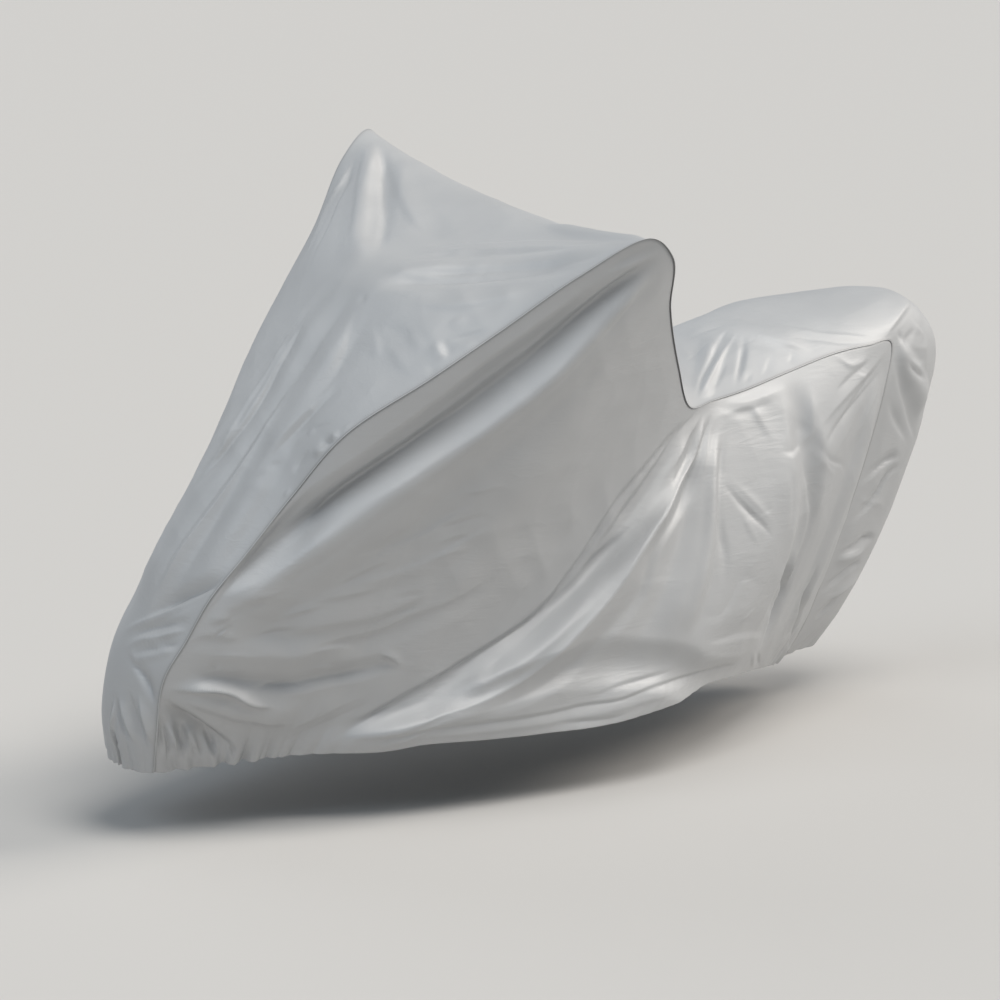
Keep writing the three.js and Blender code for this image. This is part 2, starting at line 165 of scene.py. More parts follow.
LEFT_CREASES: TracedTable = {
    "under_seam_ridge": Traced((14, 26, 20), 5, 1.3, 0, ((581, 312), (542, 337), (502, 364),
        (462, 394), (430, 421), (380, 455), (330, 492), (280, 530)), drawn=(1.1, 0.4), plain=True),
    "under_seam_trough": Traced((22, 34, 28), -10, 1.7, 0.1, ((664, 255), (653, 262), (621, 286),
        (589, 312), (558, 340), (526, 367), (478, 404), (430, 436), (345, 489), (309, 519), (273, 546)),
        drawn=(0.95, 1.9), plain=True),
    "warm_band": Traced((14, 38, 34), 8, 1.8, 0, ((660, 272), (637, 290), (605, 322), (573, 353),
        (530, 395), (480, 432), (400, 480), (330, 528), (250, 583), (195, 620)),
        drawn=(1, 1.4), plain=True),
    "tip_wedge": Traced((8, 16, 10), -6, 1.2, -0.3, ((664, 246), (645, 251), (621, 262), (599, 275)),
        drawn=(1.5, 0.6)),
    "tip_rib": Traced((8, 12, 10), 5, 1.3, 0.1, ((665, 254), (637, 263), (606, 277)), drawn=(1.5, 0.5)),
    "lap_edge": Traced((8, 12, 16), -8, 1.05, 0.3, ((690, 411), (669, 438), (645, 468), (615, 505),
        (582, 557), (551, 599), (531, 621), (503, 639), (466, 662), (430, 684), (373, 715), (319, 743)),
        drawn=(1.4, 1.1)),
    "lap_shelf": Traced((8, 16, 12), 9, 1.25, 0, ((600, 556), (587, 567), (557, 595), (531, 626),
        (497, 651), (466, 670), (430, 691), (385, 713), (340, 737)), drawn=(1.7, 0.45), plain=True),
    "lap_trough": Traced((10, 30, 14), -11, 1.6, 0, ((640, 522), (610, 556), (575, 592), (539, 625),
        (503, 658), (472, 677), (430, 700), (390, 718), (350, 738)), drawn=(1.2, 0.8), plain=True),
    "waist_valley": Traced((6, 14, 8), -9, 1.15, 0.25, ((702, 405), (681, 428), (659, 461), (645, 482),
        (621, 515), (608, 533), (590, 552))),
    "waist_ridge": Traced((8, 14, 10), 9, 1.2, -0.3, ((705, 407), (681, 448), (663, 475), (647, 503),
        (633, 519), (608, 543), (590, 562))),
    "waist_hollow": Traced((6, 18, 16), -9, 1.4, -0.1, ((697, 430), (689, 455), (675, 487), (657, 514),
        (633, 542), (604, 570), (575, 595))),
    "lap_crest": Traced((8, 26, 18), 12, 1.15, 0.3, ((706, 410), (697, 437), (688, 461), (676, 485),
        (658, 518), (640, 547), (620, 582), (600, 608), (569, 642), (539, 668), (515, 684), (479, 702),
        (430, 718), (380, 730), (335, 743)), drawn=(1.5, 1)),
    "crest_valley": Traced((8, 34, 26), -9, 1.5, -0.2, ((714, 408), (706, 430), (698, 458), (681, 503),
        (657, 545), (640, 593), (600, 640), (560, 675), (510, 702), (460, 716)),
        drawn=(1, 1), plain=True),
    "rear_rib_a": Traced((12, 26, 30), 6, 1.8, 0, ((722, 415), (714, 460), (711, 532), (700, 590),
        (680, 640)), drawn=(1, 1), plain=True),
    "rear_rib_b": Traced((10, 20, 20), -4, 1.7, 0, ((727, 430), (719, 470), (719, 521), (725, 557),
        (722, 600)), drawn=(1, 1), plain=True),
    "lip_valley": Traced((8, 12, 10), -10, 1.1, -0.6, ((324, 746), (383, 738), (430, 730), (491, 722),
        (551, 713), (586, 705), (620, 700), (650, 688), (690, 675), (740, 664)), drawn=(1.2, 0.35)),
    "lip_band": Traced((8, 18, 12), 6, 1.5, 0.1, ((400, 741), (455, 735), (520, 727), (570, 719),
        (600, 713), (640, 702), (680, 688)), drawn=(1.1, 0.3)),
    "lip_fold_a": Traced((6, 10, 8), -5, 1.1, -0.4, ((588, 704), (600, 694), (620, 686), (650, 677),
        (680, 668)), drawn=(1.6, 0.8)),
    "lip_fold_b": Traced((5, 8, 6), -4, 1.1, -0.4, ((545, 724), (580, 721), (612, 718), (640, 708)),
        drawn=(1.6, 0.7)),
    "long_line": Traced((6, 8, 5), -5, 1.05, -0.5, ((262, 752), (281, 742), (300, 733), (339, 715),
        (382, 698))),
    "long_line_side": Traced((10, 24, 14), 4, 1.6, 0.1, ((262, 742), (290, 728), (335, 706),
        (375, 692))),
    "front_dark_band": Traced((16, 26, 20), -8, 1.6, 0.15, ((178, 676), (209, 678), (251, 682),
        (290, 684), (330, 676), (372, 668), (405, 668)), drawn=(1.1, 1.5), plain=True),
    "front_light": Traced((14, 34, 24), 7, 1.7, 0, ((180, 656), (215, 652), (250, 652), (290, 655),
        (318, 648), (350, 640)), drawn=(1.1, 1.5), plain=True),
    "front_soft_a": Traced((10, 18, 14), -4, 1.6, -0.1, ((204, 617), (240, 613), (280, 622),
        (315, 628))),
    "front_soft_b": Traced((10, 16, 12), 4, 1.6, 0.1, ((205, 600), (240, 596), (290, 600), (330, 606))),
    "front_shard_a": Traced((4, 8, 5), 5, 1.1, 0.3, ((215, 638), (224, 631), (233, 625)),
        drawn=(1.8, 0.8)),
    "front_shard_b": Traced((4, 7, 5), -4, 1.1, 0.2, ((205, 667), (213, 668), (222, 670)),
        drawn=(1.8, 0.8)),
    "front_crest": Traced((6, 12, 8), 9, 1.1, 0.35, ((157, 691), (185, 690), (214, 689), (228, 691),
        (243, 699), (258, 705), (282, 711)), drawn=(1.6, 1.9)),
    "front_flat": Traced((10, 26, 18), 5, 1.7, 0.1, ((170, 700), (200, 706), (235, 716), (268, 726)),
        drawn=(1, 1.2)),
    "pocket_dark": Traced((5, 9, 6), -8, 1.2, 0.1, ((158, 712), (160, 730), (160, 745), (163, 758)),
        drawn=(1.6, 1.2)),
    "pocket_rib": Traced((5, 8, 5), 6, 1.2, -0.1, ((168, 722), (173, 737), (178, 752)), drawn=(1.7, 1.7)),
    "pocket_rib_b": Traced((5, 8, 5), 5, 1.2, 0.1, ((186, 728), (194, 742), (200, 757)),
        drawn=(1.7, 1.7)),
    "pocket_dark_b": Traced((5, 8, 5), -6, 1.2, -0.1, ((180, 722), (187, 738), (190, 756)),
        drawn=(1.7, 1.7)),
    "pocket_dark_c": Traced((5, 8, 5), -6, 1.2, 0.1, ((207, 734), (211, 746), (214, 758)),
        drawn=(1.7, 1.7)),
    "mid_shard": Traced((4, 9, 5), 7, 1.05, 0.35, ((375, 652), (385, 656), (395, 661), (404, 666)),
        drawn=(1.8, 0.9)),
    "mid_shard_side": Traced((6, 14, 8), -4, 1.4, 0.1, ((350, 662), (375, 664), (400, 670))),
    "mid_soft_a": Traced((14, 30, 18), 4, 1.8, 0.1, ((262, 632), (292, 630), (330, 622), (380, 612),
        (440, 590)), drawn=(1, 1.2)),
    "mid_soft_b": Traced((14, 24, 18), -4, 1.8, -0.1, ((300, 652), (340, 642), (390, 630), (450, 606),
        (500, 575)), drawn=(1, 1.2)),
    "mid_soft_c": Traced((12, 20, 14), -3, 1.7, 0.1, ((340, 560), (390, 545), (440, 520), (490, 490)),
        drawn=(1, 1.2)),
    "mid_soft_d": Traced((12, 20, 14), 3, 1.7, -0.1, ((330, 590), (390, 575), (450, 550), (510, 520)),
        drawn=(1, 1.2)),
    "seam_shadow_rib": Traced((5, 10, 6), 4, 1.3, 0.1, ((214, 600), (237, 590), (262, 575))),
    "waist_fan_a": Traced((5, 12, 8), 5, 1.2, 0, ((716, 400), (740, 403), (765, 396), (790, 386)),
        plain=True),
    "waist_fan_b": Traced((5, 12, 8), -5, 1.2, 0, ((713, 407), (735, 412), (756, 408), (775, 400)),
        plain=True),
    "panel_edge_a": Traced((6, 14, 10), 4, 1.2, 0.3, ((713, 418), (748, 407), (757, 417), (768, 434),
        (778, 447)), drawn=(1.7, 0.8)),
    "panel_edge_b": Traced((6, 16, 8), 4, 1.25, -0.3, ((810, 385), (811, 418), (806, 437), (793, 451)),
        drawn=(1.7, 0.8)),
    "panel_edge_c": Traced((6, 16, 8), -4, 1.3, 0.2, ((778, 447), (786, 452), (793, 451), (806, 437)),
        drawn=(1.7, 0.8)),
    "shard_edge": Traced((4, 9, 5), -9, 1.05, -0.45, ((720, 478), (737, 498), (756, 517), (769, 531),
        (774, 541)), drawn=(1.5, 0.5)),
    "shard_ridge": Traced((4, 9, 5), 5, 1.1, 0.3, ((728, 478), (745, 494), (764, 513), (776, 530)),
        drawn=(1.8, 0.4)),
    "shard_low": Traced((4, 8, 5), 4, 1.1, 0.1, ((739, 506), (749, 528), (761, 550)), drawn=(1.8, 0.4)),
    "shard_cross": Traced((4, 7, 4), -3, 1.1, 0.1, ((757, 516), (768, 511), (774, 508)),
        drawn=(1.8, 0.3)),
    "rear_trough": Traced((10, 22, 18), -11, 1.4, 0.15, ((797, 452), (803, 470), (809, 497),
        (811, 520), (804, 545), (792, 575), (778, 605), (764, 640)), drawn=(1.5, 0.5)),
    "rear_trough_side": Traced((10, 18, 14), 7, 1.5, -0.1, ((784, 455), (788, 490), (788, 520),
        (780, 550)), drawn=(1.5, 0.3)),
    "corner_fold_a": Traced((6, 16, 12), -6, 1.1, 0.2, ((888, 350), (877, 367), (862, 388), (845, 415),
        (827, 440), (815, 455)), drawn=(1.5, 0.55)),
    "corner_fold_b": Traced((6, 14, 10), 6, 1.1, -0.1, ((884, 352), (868, 372), (850, 392), (832, 412),
        (815, 432)), drawn=(1.5, 0.5)),
    "corner_fold_c": Traced((5, 9, 7), -4, 1.1, 0.2, ((884, 362), (872, 382), (858, 400), (841, 419),
        (828, 437)), drawn=(1.6, 0.6)),
    "corner_fold_d": Traced((5, 12, 8), 4, 1.1, -0.1, ((884, 375), (874, 400), (860, 430), (848, 455)),
        drawn=(1.6, 0.5)),
    "corner_pucker_a": Traced((5, 9, 6), 5, 1.15, 0.3, ((831, 357), (841, 360), (851, 366), (862, 362),
        (870, 354))),
    "corner_pucker_b": Traced((5, 10, 6), -5, 1.2, 0.1, ((874, 356), (862, 367), (849, 378),
        (832, 395))),
    "corner_pucker_c": Traced((3, 6, 4), 3, 1.2, -0.1, ((856, 373), (862, 376), (868, 375))),
    "cross_line_a": Traced((4, 7, 5), -5, 1.05, 0.4, ((806, 434), (818, 448), (830, 461), (845, 478))),
    "cross_line_b": Traced((4, 6, 4), 3, 1.1, -0.1, ((802, 440), (814, 454), (826, 467), (837, 478))),
    "dark_peak_a": Traced((5, 12, 9), -9, 1.15, 0.55, ((785, 562), (783, 585), (776, 605), (768, 628),
        (757, 655)), drawn=(2, 1.5)),
    "dark_peak_b": Traced((5, 13, 9), -9, 1.2, 0.55, ((819, 559), (812, 580), (803, 600), (795, 625),
        (787, 650)), drawn=(1.8, 1.4)),
    "dark_rib": Traced((4, 9, 6), 8, 1.15, -0.1, ((797, 538), (792, 560), (789, 580), (786, 598)),
        drawn=(1.6, 0.9)),
    "dark_edge_a": Traced((6, 16, 10), -6, 1.2, 0.4, ((698, 626), (706, 618), (720, 616), (728, 608),
        (744, 579), (752, 579), (761, 590)), drawn=(2.4, 0.5)),
    "dark_edge_b": Traced((4, 8, 5), 4, 1.1, 0.1, ((757, 607), (748, 615), (739, 624))),
    "low_rear_a": Traced((10, 26, 14), -6, 1.5, 0.1, ((700, 640), (720, 640), (745, 632), (765, 640)),
        drawn=(1.2, 0.6)),
    "low_rear_b": Traced((6, 12, 8), 6, 1.3, -0.1, ((770, 600), (768, 622), (762, 645)),
        drawn=(1.6, 0.35)),
    "low_pucker": Traced((3, 6, 4), 5, 1.1, 0.1, ((751, 652), (752, 660), (752, 668))),
    "low_pucker_b": Traced((3, 6, 4), -5, 1.1, -0.1, ((757, 650), (758, 658), (759, 666))),
    "front_pocket": Traced((16, 42, 32), -30, 1.3, -0.7, ((160, 693), (170, 705), (186, 717),
        (207, 731), (225, 743), (240, 752)), drawn=(1, 1)),
    "slit_a": Traced((4, 8, 3), -7, 1.1, -0.1, ((168, 766), (168, 748), (165, 732), (161, 718)),
        drawn=(1, 1)),
    "slit_b": Traced((4, 8, 3), -7, 1.1, 0.1, ((186, 764), (184, 747), (180, 732), (176, 722)),
        drawn=(1, 1)),
    "slit_c": Traced((4, 8, 3), -7, 1.1, -0.1, ((203, 762), (200, 748), (196, 735)), drawn=(1, 1)),
    "slit_d": Traced((4, 7, 3), -6, 1.1, 0.1, ((218, 760), (216, 750), (213, 740)), drawn=(1, 1)),
    "slit_e": Traced((4, 7, 3), -6, 1.1, -0.1, ((233, 758), (232, 750), (230, 744)), drawn=(1, 1)),
    "slit_rib_a": Traced((5, 9, 4), 5, 1.2, -0.1, ((177, 765), (176, 748), (173, 730), (168, 714)),
        drawn=(1, 1)),
    "slit_rib_b": Traced((5, 9, 4), 5, 1.2, 0.1, ((195, 763), (192, 748), (188, 735), (184, 726)),
        drawn=(1, 1)),
    "slit_rib_c": Traced((5, 8, 4), 4, 1.2, -0.1, ((211, 761), (209, 750), (205, 739)), drawn=(1, 1)),
    "flank_facet_a": Traced((6, 16, 8), 4, 1.05, 0.5, ((205, 622), (214, 620), (223, 619), (236, 616)),
        drawn=(1, 1)),
    "flank_facet_b": Traced((6, 14, 8), -4, 1.05, -0.5, ((210, 637), (222, 630), (237, 622)),
        drawn=(1, 1)),
    "flank_facet_c": Traced((6, 18, 10), 4, 1.1, 0.5, ((184, 640), (209, 635), (230, 638), (252, 640)),
        drawn=(1, 1)),
    "flank_facet_d": Traced((6, 18, 10), -4, 1.05, -0.5, ((250, 637), (270, 632), (286, 630),
        (307, 630)), drawn=(1, 1)),
    "flank_facet_e": Traced((6, 18, 10), 4, 1.05, 0.5, ((276, 618), (290, 614), (307, 609), (328, 605)),
        drawn=(1, 1)),
    "flank_facet_f": Traced((6, 20, 10), -3, 1.1, -0.5, ((325, 592), (345, 583), (366, 573),
        (398, 559)), drawn=(1, 1)),
    "flank_facet_g": Traced((6, 20, 10), 3, 1.1, 0.5, ((310, 603), (330, 598), (352, 594), (387, 587)),
        drawn=(1, 1)),
    "flank_facet_h": Traced((6, 16, 8), -3, 1.05, 0.5, ((385, 617), (405, 610), (426, 605)),
        drawn=(1, 1)),
    "flank_facet_i": Traced((6, 18, 10), 4, 1.05, -0.5, ((305, 652), (322, 648), (335, 647),
        (356, 651)), drawn=(1, 1)),
    "flank_facet_j": Traced((6, 20, 10), -4, 1.1, 0.5, ((195, 654), (216, 651), (237, 650), (272, 654)),
        drawn=(1, 1)),
    "flank_facet_k": Traced((6, 22, 10), 3, 1.1, 0.5, ((230, 608), (252, 600), (272, 594), (300, 580)),
        drawn=(1, 1)),
    "flank_facet_l": Traced((6, 18, 10), -4, 1.05, -0.5, ((243, 692), (265, 687), (286, 685),
        (314, 690)), drawn=(1, 1)),
    "flank_facet_m": Traced((6, 18, 10), 4, 1.05, 0.5, ((236, 715), (254, 721), (272, 724), (300, 724)),
        drawn=(1, 1)),
    "flank_facet_n": Traced((6, 14, 8), -3, 1.05, 0.5, ((300, 668), (322, 664), (348, 668)),
        drawn=(1, 1)),
    "crinkle_a": Traced((5, 13, 6), 2, 1.05, 0.5, ((446, 500), (462, 495), (484, 490), (512, 495)),
        drawn=(1, 1)),
    "crinkle_b": Traced((5, 13, 6), -2, 1.05, -0.5, ((420, 530), (440, 526), (460, 522), (500, 526)),
        drawn=(1, 1)),
    "crinkle_c": Traced((5, 13, 6), 2, 1.05, 0.5, ((404, 562), (424, 558), (444, 554), (480, 558)),
        drawn=(1, 1)),
    "crinkle_d": Traced((5, 13, 6), -2, 1.05, -0.5, ((388, 598), (408, 594), (428, 590)), drawn=(1, 1)),
    "crinkle_e": Traced((5, 13, 6), 2, 1.05, 0.5, ((430, 545), (450, 538), (476, 540)), drawn=(1, 1)),
    "crinkle_f": Traced((5, 13, 6), -2, 1.05, 0.5, ((362, 560), (384, 552), (408, 548)), drawn=(1, 1)),
}
STRIP_CREASES: TracedTable = {
    "apex_ridge": Traced((10, 22, 20), 9, 1.4, -0.1, ((372, 136), (368, 177), (364, 223), (362, 262)),
        drawn=(1.3, 0.4)),
    "apex_trough": Traced((8, 24, 22), -9, 1.4, 0.1, ((378, 140), (381, 166), (385, 200), (385, 229),
        (376, 258)), drawn=(1.2, 0.7)),
    "apex_side": Traced((8, 16, 14), -6, 1.4, -0.1, ((364, 141), (356, 178), (350, 223), (350, 258)),
        drawn=(1.3, 0.7)),
    "apex_flank": Traced((10, 26, 20), 5, 1.6, 0.1, ((385, 148), (395, 180), (410, 215), (430, 240))),
    "top_trough_a": Traced((10, 20, 12), -6, 1.5, 0.1, ((415, 250), (432, 247), (494, 241), (550, 238),
        (606, 240)), drawn=(1.7, 0.8)),
    "top_ridge_a": Traced((10, 18, 10), 7, 1.4, 0.1, ((398, 258), (430, 254), (510, 252), (560, 249),
        (604, 246)), drawn=(1.7, 0.8)),
    "top_trough_b": Traced((10, 20, 10), -8, 1.4, 0.1, ((392, 269), (430, 271), (510, 268), (558, 263),
        (603, 255)), drawn=(1.7, 0.8)),
    "top_ridge_b": Traced((8, 14, 8), 4, 1.5, -0.1, ((400, 277), (450, 277), (510, 274), (560, 268)),
        drawn=(1.7, 0.9)),
    "top_trough_c": Traced((10, 18, 10), -5, 1.5, 0.1, ((404, 283), (446, 284), (502, 280), (542, 273),
        (580, 265)), drawn=(1.7, 0.8)),
    "top_soft_d": Traced((14, 26, 16), 4, 1.7, 0.1, ((400, 300), (450, 306), (500, 298), (540, 285))),
    "top_spark": Traced((4, 8, 4), 3, 1.2, 0.1, ((492, 208), (500, 209), (508, 210))),
    "focus_dent": Traced((3, 6, 4), -6, 1.1, -0.1, ((365, 293), (364, 300), (363, 306)), drawn=(2, 0.4)),
    "focus_edge_a": Traced((6, 16, 10), -5, 1.2, 0.4, ((364, 303), (354, 320), (347, 348), (337, 372),
        (328, 395)), drawn=(1.8, 0.5)),
    "focus_edge_b": Traced((6, 14, 10), 5, 1.2, -0.2, ((372, 325), (376, 342), (377, 356), (371, 363)),
        drawn=(1.8, 0.5)),
    "focus_patch_a": Traced((6, 16, 8), -7, 1.15, -0.4, ((372, 321), (379, 326), (388, 328),
        (403, 334), (409, 344), (415, 357)), drawn=(2.2, 0.3)),
    "focus_patch_b": Traced((6, 14, 8), -5, 1.3, -0.1, ((380, 340), (388, 355), (400, 372), (412, 385)),
        drawn=(2.2, 0.3)),
    "focus_patch_c": Traced((5, 10, 6), 4, 1.3, 0.1, ((390, 345), (398, 360), (408, 372)),
        drawn=(2.2, 0.3)),
    "focus_patch_d": Traced((5, 12, 8), 4, 1.3, -0.1, ((405, 330), (418, 342), (428, 352)),
        drawn=(2.2, 0.3)),
    "crumple_peak": Traced((4, 9, 5), 10, 1.05, -0.3, ((434, 340), (438, 350), (442, 356), (448, 359)),
        drawn=(2.6, 0.4)),
    "crumple_dark": Traced((4, 8, 5), -7, 1.1, 0.2, ((443, 338), (447, 350), (453, 357)),
        drawn=(2.2, 0.35)),
    "crumple_line": Traced((4, 7, 4), -7, 1.05, -0.4, ((444, 343), (463, 337), (478, 333), (491, 328)),
        drawn=(2, 0.4)),
    "crumple_ridge": Traced((5, 10, 5), 4, 1.2, -0.1, ((446, 326), (457, 321), (469, 317)),
        drawn=(2, 0.35)),
    "seam_crumple_a": Traced((4, 8, 4), -5, 1.15, 0.1, ((425, 366), (433, 371), (438, 376)),
        drawn=(2.2, 0.3)),
    "seam_crumple_b": Traced((4, 8, 4), 4, 1.2, -0.1, ((462, 342), (470, 346), (478, 343)),
        drawn=(2.2, 0.3)),
    "slope_fold_a": Traced((5, 10, 6), -6, 1.05, 0.4, ((352, 381), (337, 391), (316, 411), (302, 425),
        (273, 455), (252, 476))),
    "slope_fold_b": Traced((6, 14, 8), 5, 1.3, -0.1, ((345, 374), (325, 395), (305, 413), (285, 433),
        (262, 458))),
    "slope_step_a": Traced((3, 6, 3), 4, 1.1, 0.3, ((307, 409), (311, 411), (315, 413))),
    "slope_step_b": Traced((3, 6, 3), 4, 1.1, 0.3, ((307, 430), (310, 432), (314, 435))),
    "slope_valley": Traced((4, 8, 5), -5, 1.1, 0.1, ((334, 421), (316, 428), (307, 431), (295, 442))),
    "slope_nick_a": Traced((3, 5, 3), -4, 1.1, 0.1, ((247, 483), (257, 477), (269, 475))),
    "slope_nick_b": Traced((3, 5, 3), -3, 1.1, -0.1, ((266, 465), (275, 464), (284, 463))),
    "slope_quad": Traced((4, 10, 6), -6, 1.2, 0.1, ((311, 447), (303, 457), (297, 467), (302, 474))),
    "bump_peak_a": Traced((4, 9, 4), 12, 1.1, -0.1, ((333, 430), (336, 437), (336, 444)),
        drawn=(2.2, 0.45)),
    "bump_peak_b": Traced((4, 9, 4), 12, 1.1, 0.1, ((312, 449), (320, 453), (329, 448)),
        drawn=(2.2, 0.45)),
    "bump_dark": Traced((3, 6, 3), -12, 1.05, 0.1, ((317, 447), (326, 443), (337, 443)),
        drawn=(2.2, 0.45)),
    "bump_tail": Traced((4, 9, 5), 6, 1.2, 0.1, ((342, 427), (345, 431), (344, 437)), drawn=(2, 0.6)),
    "seam_nick": Traced((3, 6, 3), 5, 1.1, -0.1, ((284, 491), (290, 494), (293, 497)), drawn=(2.2, 0.5)),
    "crease_front": Traced((6, 16, 12), 7, 1.15, 0.2, ((298, 378), (275, 416), (236, 477), (200, 525),
        (180, 553), (166, 577), (150, 602)), drawn=(1.3, 1.1)),
    "crease_blue": Traced((6, 14, 10), -6, 1.25, 0.2, ((318, 299), (296, 335), (276, 372), (266, 391),
        (248, 421), (222, 453), (200, 480), (185, 500)), drawn=(1.3, 1)),
    "crease_blue_rib": Traced((6, 12, 8), 5, 1.3, -0.1, ((310, 300), (284, 345), (258, 388),
        (240, 416), (222, 449), (196, 475)), drawn=(1.3, 0.9)),
    "edge_fold": Traced((4, 9, 8), 7, 1.1, -0.2, ((357, 150), (345, 176), (330, 205), (316, 236),
        (302, 262)), drawn=(1.6, 0.9)),
    "edge_fold_dark": Traced((4, 8, 7), -6, 1.1, -0.1, ((360, 154), (350, 176), (336, 206), (322, 238),
        (310, 262)), drawn=(1.6, 0.9)),
    "low_dark": Traced((5, 14, 8), -9, 1.1, 0.45, ((143, 620), (161, 610), (185, 598), (203, 590),
        (222, 580), (236, 566)), drawn=(1.7, 1.7)),
    "low_rib_a": Traced((5, 10, 6), 6, 1.2, -0.2, ((150, 627), (170, 621), (190, 611), (206, 602)),
        drawn=(1.8, 0.4)),
    "front_rib_a": Traced((6, 13, 8), 6, 1.1, -0.4, ((120, 634), (146, 621), (170, 612), (198, 602)),
        drawn=(1, 1)),
    "front_rib_b": Traced((6, 13, 8), 6, 1.1, 0.4, ((122, 650), (142, 641), (165, 637), (196, 632)),
        drawn=(1, 1)),
    "front_rib_c": Traced((5, 10, 6), 4, 1.1, -0.4, ((128, 664), (150, 656), (170, 652), (188, 650)),
        drawn=(1, 1)),
    "front_dip_a": Traced((6, 12, 8), -6, 1.05, 0.4, ((124, 641), (146, 631), (170, 625), (194, 618)),
        drawn=(1, 1)),
    "front_dip_b": Traced((5, 10, 6), -5, 1.05, -0.4, ((126, 656), (148, 648), (170, 645), (190, 641)),
        drawn=(1, 1)),
    "low_dark_b": Traced((4, 8, 5), -5, 1.2, -0.1, ((148, 634), (168, 629), (186, 622), (198, 616)),
        drawn=(1.8, 0.4)),
    "low_rib_b": Traced((4, 7, 4), 6, 1.15, 0.1, ((157, 638), (173, 634), (188, 632)), drawn=(1.8, 0.4)),
    "low_dark_c": Traced((4, 8, 4), -6, 1.15, 0.1, ((152, 640), (168, 645), (180, 647)),
        drawn=(1.8, 0.4)),
    "low_rib_c": Traced((4, 8, 4), 7, 1.1, 0.2, ((148, 647), (161, 649), (175, 656)), drawn=(1.8, 0.4)),
    "low_rib_d": Traced((4, 9, 6), 9, 1.1, -0.3, ((130, 644), (135, 660), (143, 672), (150, 683)),
        drawn=(1.8, 0.4)),
    "low_edge": Traced((4, 9, 6), -11, 1.05, 0.2, ((124, 655), (135, 665), (145, 680), (152, 697),
        (158, 712)), drawn=(2.2, 1), plain=True),
    "front_gather_a": Traced((4, 6, 4), 4, 1.1, 0.1, ((118, 692), (122, 712), (129, 732), (137, 748)),
        drawn=(1.8, 2.2)),
    "front_gather_b": Traced((4, 6, 4), 4, 1.1, -0.1, ((109, 700), (112, 718), (118, 736), (125, 750)),
        drawn=(1.8, 2.2)),
    "front_gather_c": Traced((4, 7, 4), -4, 1.2, 0.1, ((114, 690), (117, 712), (124, 734), (131, 750)),
        drawn=(1.8, 2.2)),
    "front_gather_d": Traced((4, 8, 5), -4, 1.2, -0.1, ((128, 685), (133, 708), (141, 732), (149, 752)),
        drawn=(1.8, 2.2)),
    "front_gather_e": Traced((4, 8, 5), 4, 1.2, 0.1, ((136, 690), (142, 712), (149, 735), (155, 752)),
        drawn=(1.8, 2.2)),
    "step_line": Traced((6, 14, 8), -6, 1.2, 0.4, ((684, 339), (698, 335), (722, 326), (730, 326),
        (739, 329))),
    "step_valley": Traced((6, 14, 6), -10, 1.15, 0.3, ((730, 328), (719, 343), (712, 358), (703, 377),
        (695, 402)), drawn=(1.3, 0.8)),
    "step_crest": Traced((5, 9, 5), 9, 1.1, -0.3, ((739, 331), (730, 343), (718, 363), (708, 381),
        (698, 400)), drawn=(1.5, 0.8)),
    "step_valley_b": Traced((5, 10, 5), -8, 1.1, 0.1, ((743, 332), (742, 346), (738, 372), (734, 391)),
        drawn=(1.5, 0.7)),
    "step_crest_b": Traced((5, 9, 5), 6, 1.2, 0.1, ((749, 335), (745, 367), (738, 389))),
    "step_nick_a": Traced((4, 7, 4), -6, 1.1, -0.1, ((727, 360), (718, 381), (711, 394))),
    "step_nick_b": Traced((4, 7, 4), -4, 1.15, 0.1, ((771, 353), (767, 367), (762, 379))),
    "step_nick_c": Traced((3, 6, 3), -5, 1.1, -0.1, ((751, 371), (746, 385))),
    "step_nick_d": Traced((4, 7, 4), -4, 1.15, 0.1, ((794, 350), (789, 365))),
    "step_plane": Traced((8, 18, 10), -5, 1.5, 0.1, ((686, 356), (690, 360), (700, 350), (715, 338))),
    "top_facet": Traced((6, 12, 6), 5, 1.15, 0.35, ((744, 331), (780, 342), (819, 354))),
    "top_light": Traced((8, 14, 10), 4, 1.4, -0.1, ((752, 325), (790, 328), (834, 335), (882, 341))),
    "top_light_low": Traced((8, 14, 10), -4, 1.4, 0.1, ((780, 335), (815, 340), (845, 343), (878, 345))),
    "corner_line": Traced((6, 14, 8), 7, 1.15, -0.2, ((915, 302), (899, 316), (888, 332), (882, 344))),
    "corner_facet_a": Traced((4, 9, 5), -7, 1.1, 0.1, ((915, 327), (908, 335), (901, 344)),
        drawn=(2, 0.4)),
    "corner_facet_b": Traced((4, 9, 5), 5, 1.15, -0.1, ((908, 317), (916, 327), (922, 334), (916, 344)),
        drawn=(2, 0.4)),
    "corner_facet_c": Traced((4, 8, 4), -6, 1.1, 0.3, ((896, 333), (900, 339), (903, 345)),
        drawn=(2, 0.4)),
    "corner_ridge": Traced((5, 9, 5), 6, 1.15, 0.1, ((903, 345), (917, 348), (932, 349)), drawn=(2, 0.3)),
    "corner_moon": Traced((4, 10, 5), -7, 1.15, 0.3, ((904, 353), (914, 359), (922, 360), (931, 354)),
        drawn=(1.7, 0.3)),
    "corner_wedge": Traced((4, 9, 6), -9, 1.1, -0.4, ((904, 357), (916, 370), (926, 380)),
        drawn=(1.6, 0.9)),
    "corner_drop": Traced((6, 14, 10), -5, 1.3, 0.1, ((893, 352), (899, 383), (909, 421), (916, 443)),
        drawn=(1.4, 0.8)),
    "corner_drop_b": Traced((6, 12, 9), -6, 1.2, 0.2, ((886, 395), (893, 417), (908, 446)),
        drawn=(1.4, 0.8)),
    "rear_fold_a": Traced((5, 12, 6), -7, 1.2, -0.1, ((903, 457), (887, 461), (868, 477), (857, 489)),
        drawn=(1.6, 1.2)),
    "rear_fold_b": Traced((5, 14, 6), -8, 1.15, -0.4, ((903, 467), (889, 474), (873, 499), (846, 525)),
        drawn=(1.6, 1.2)),
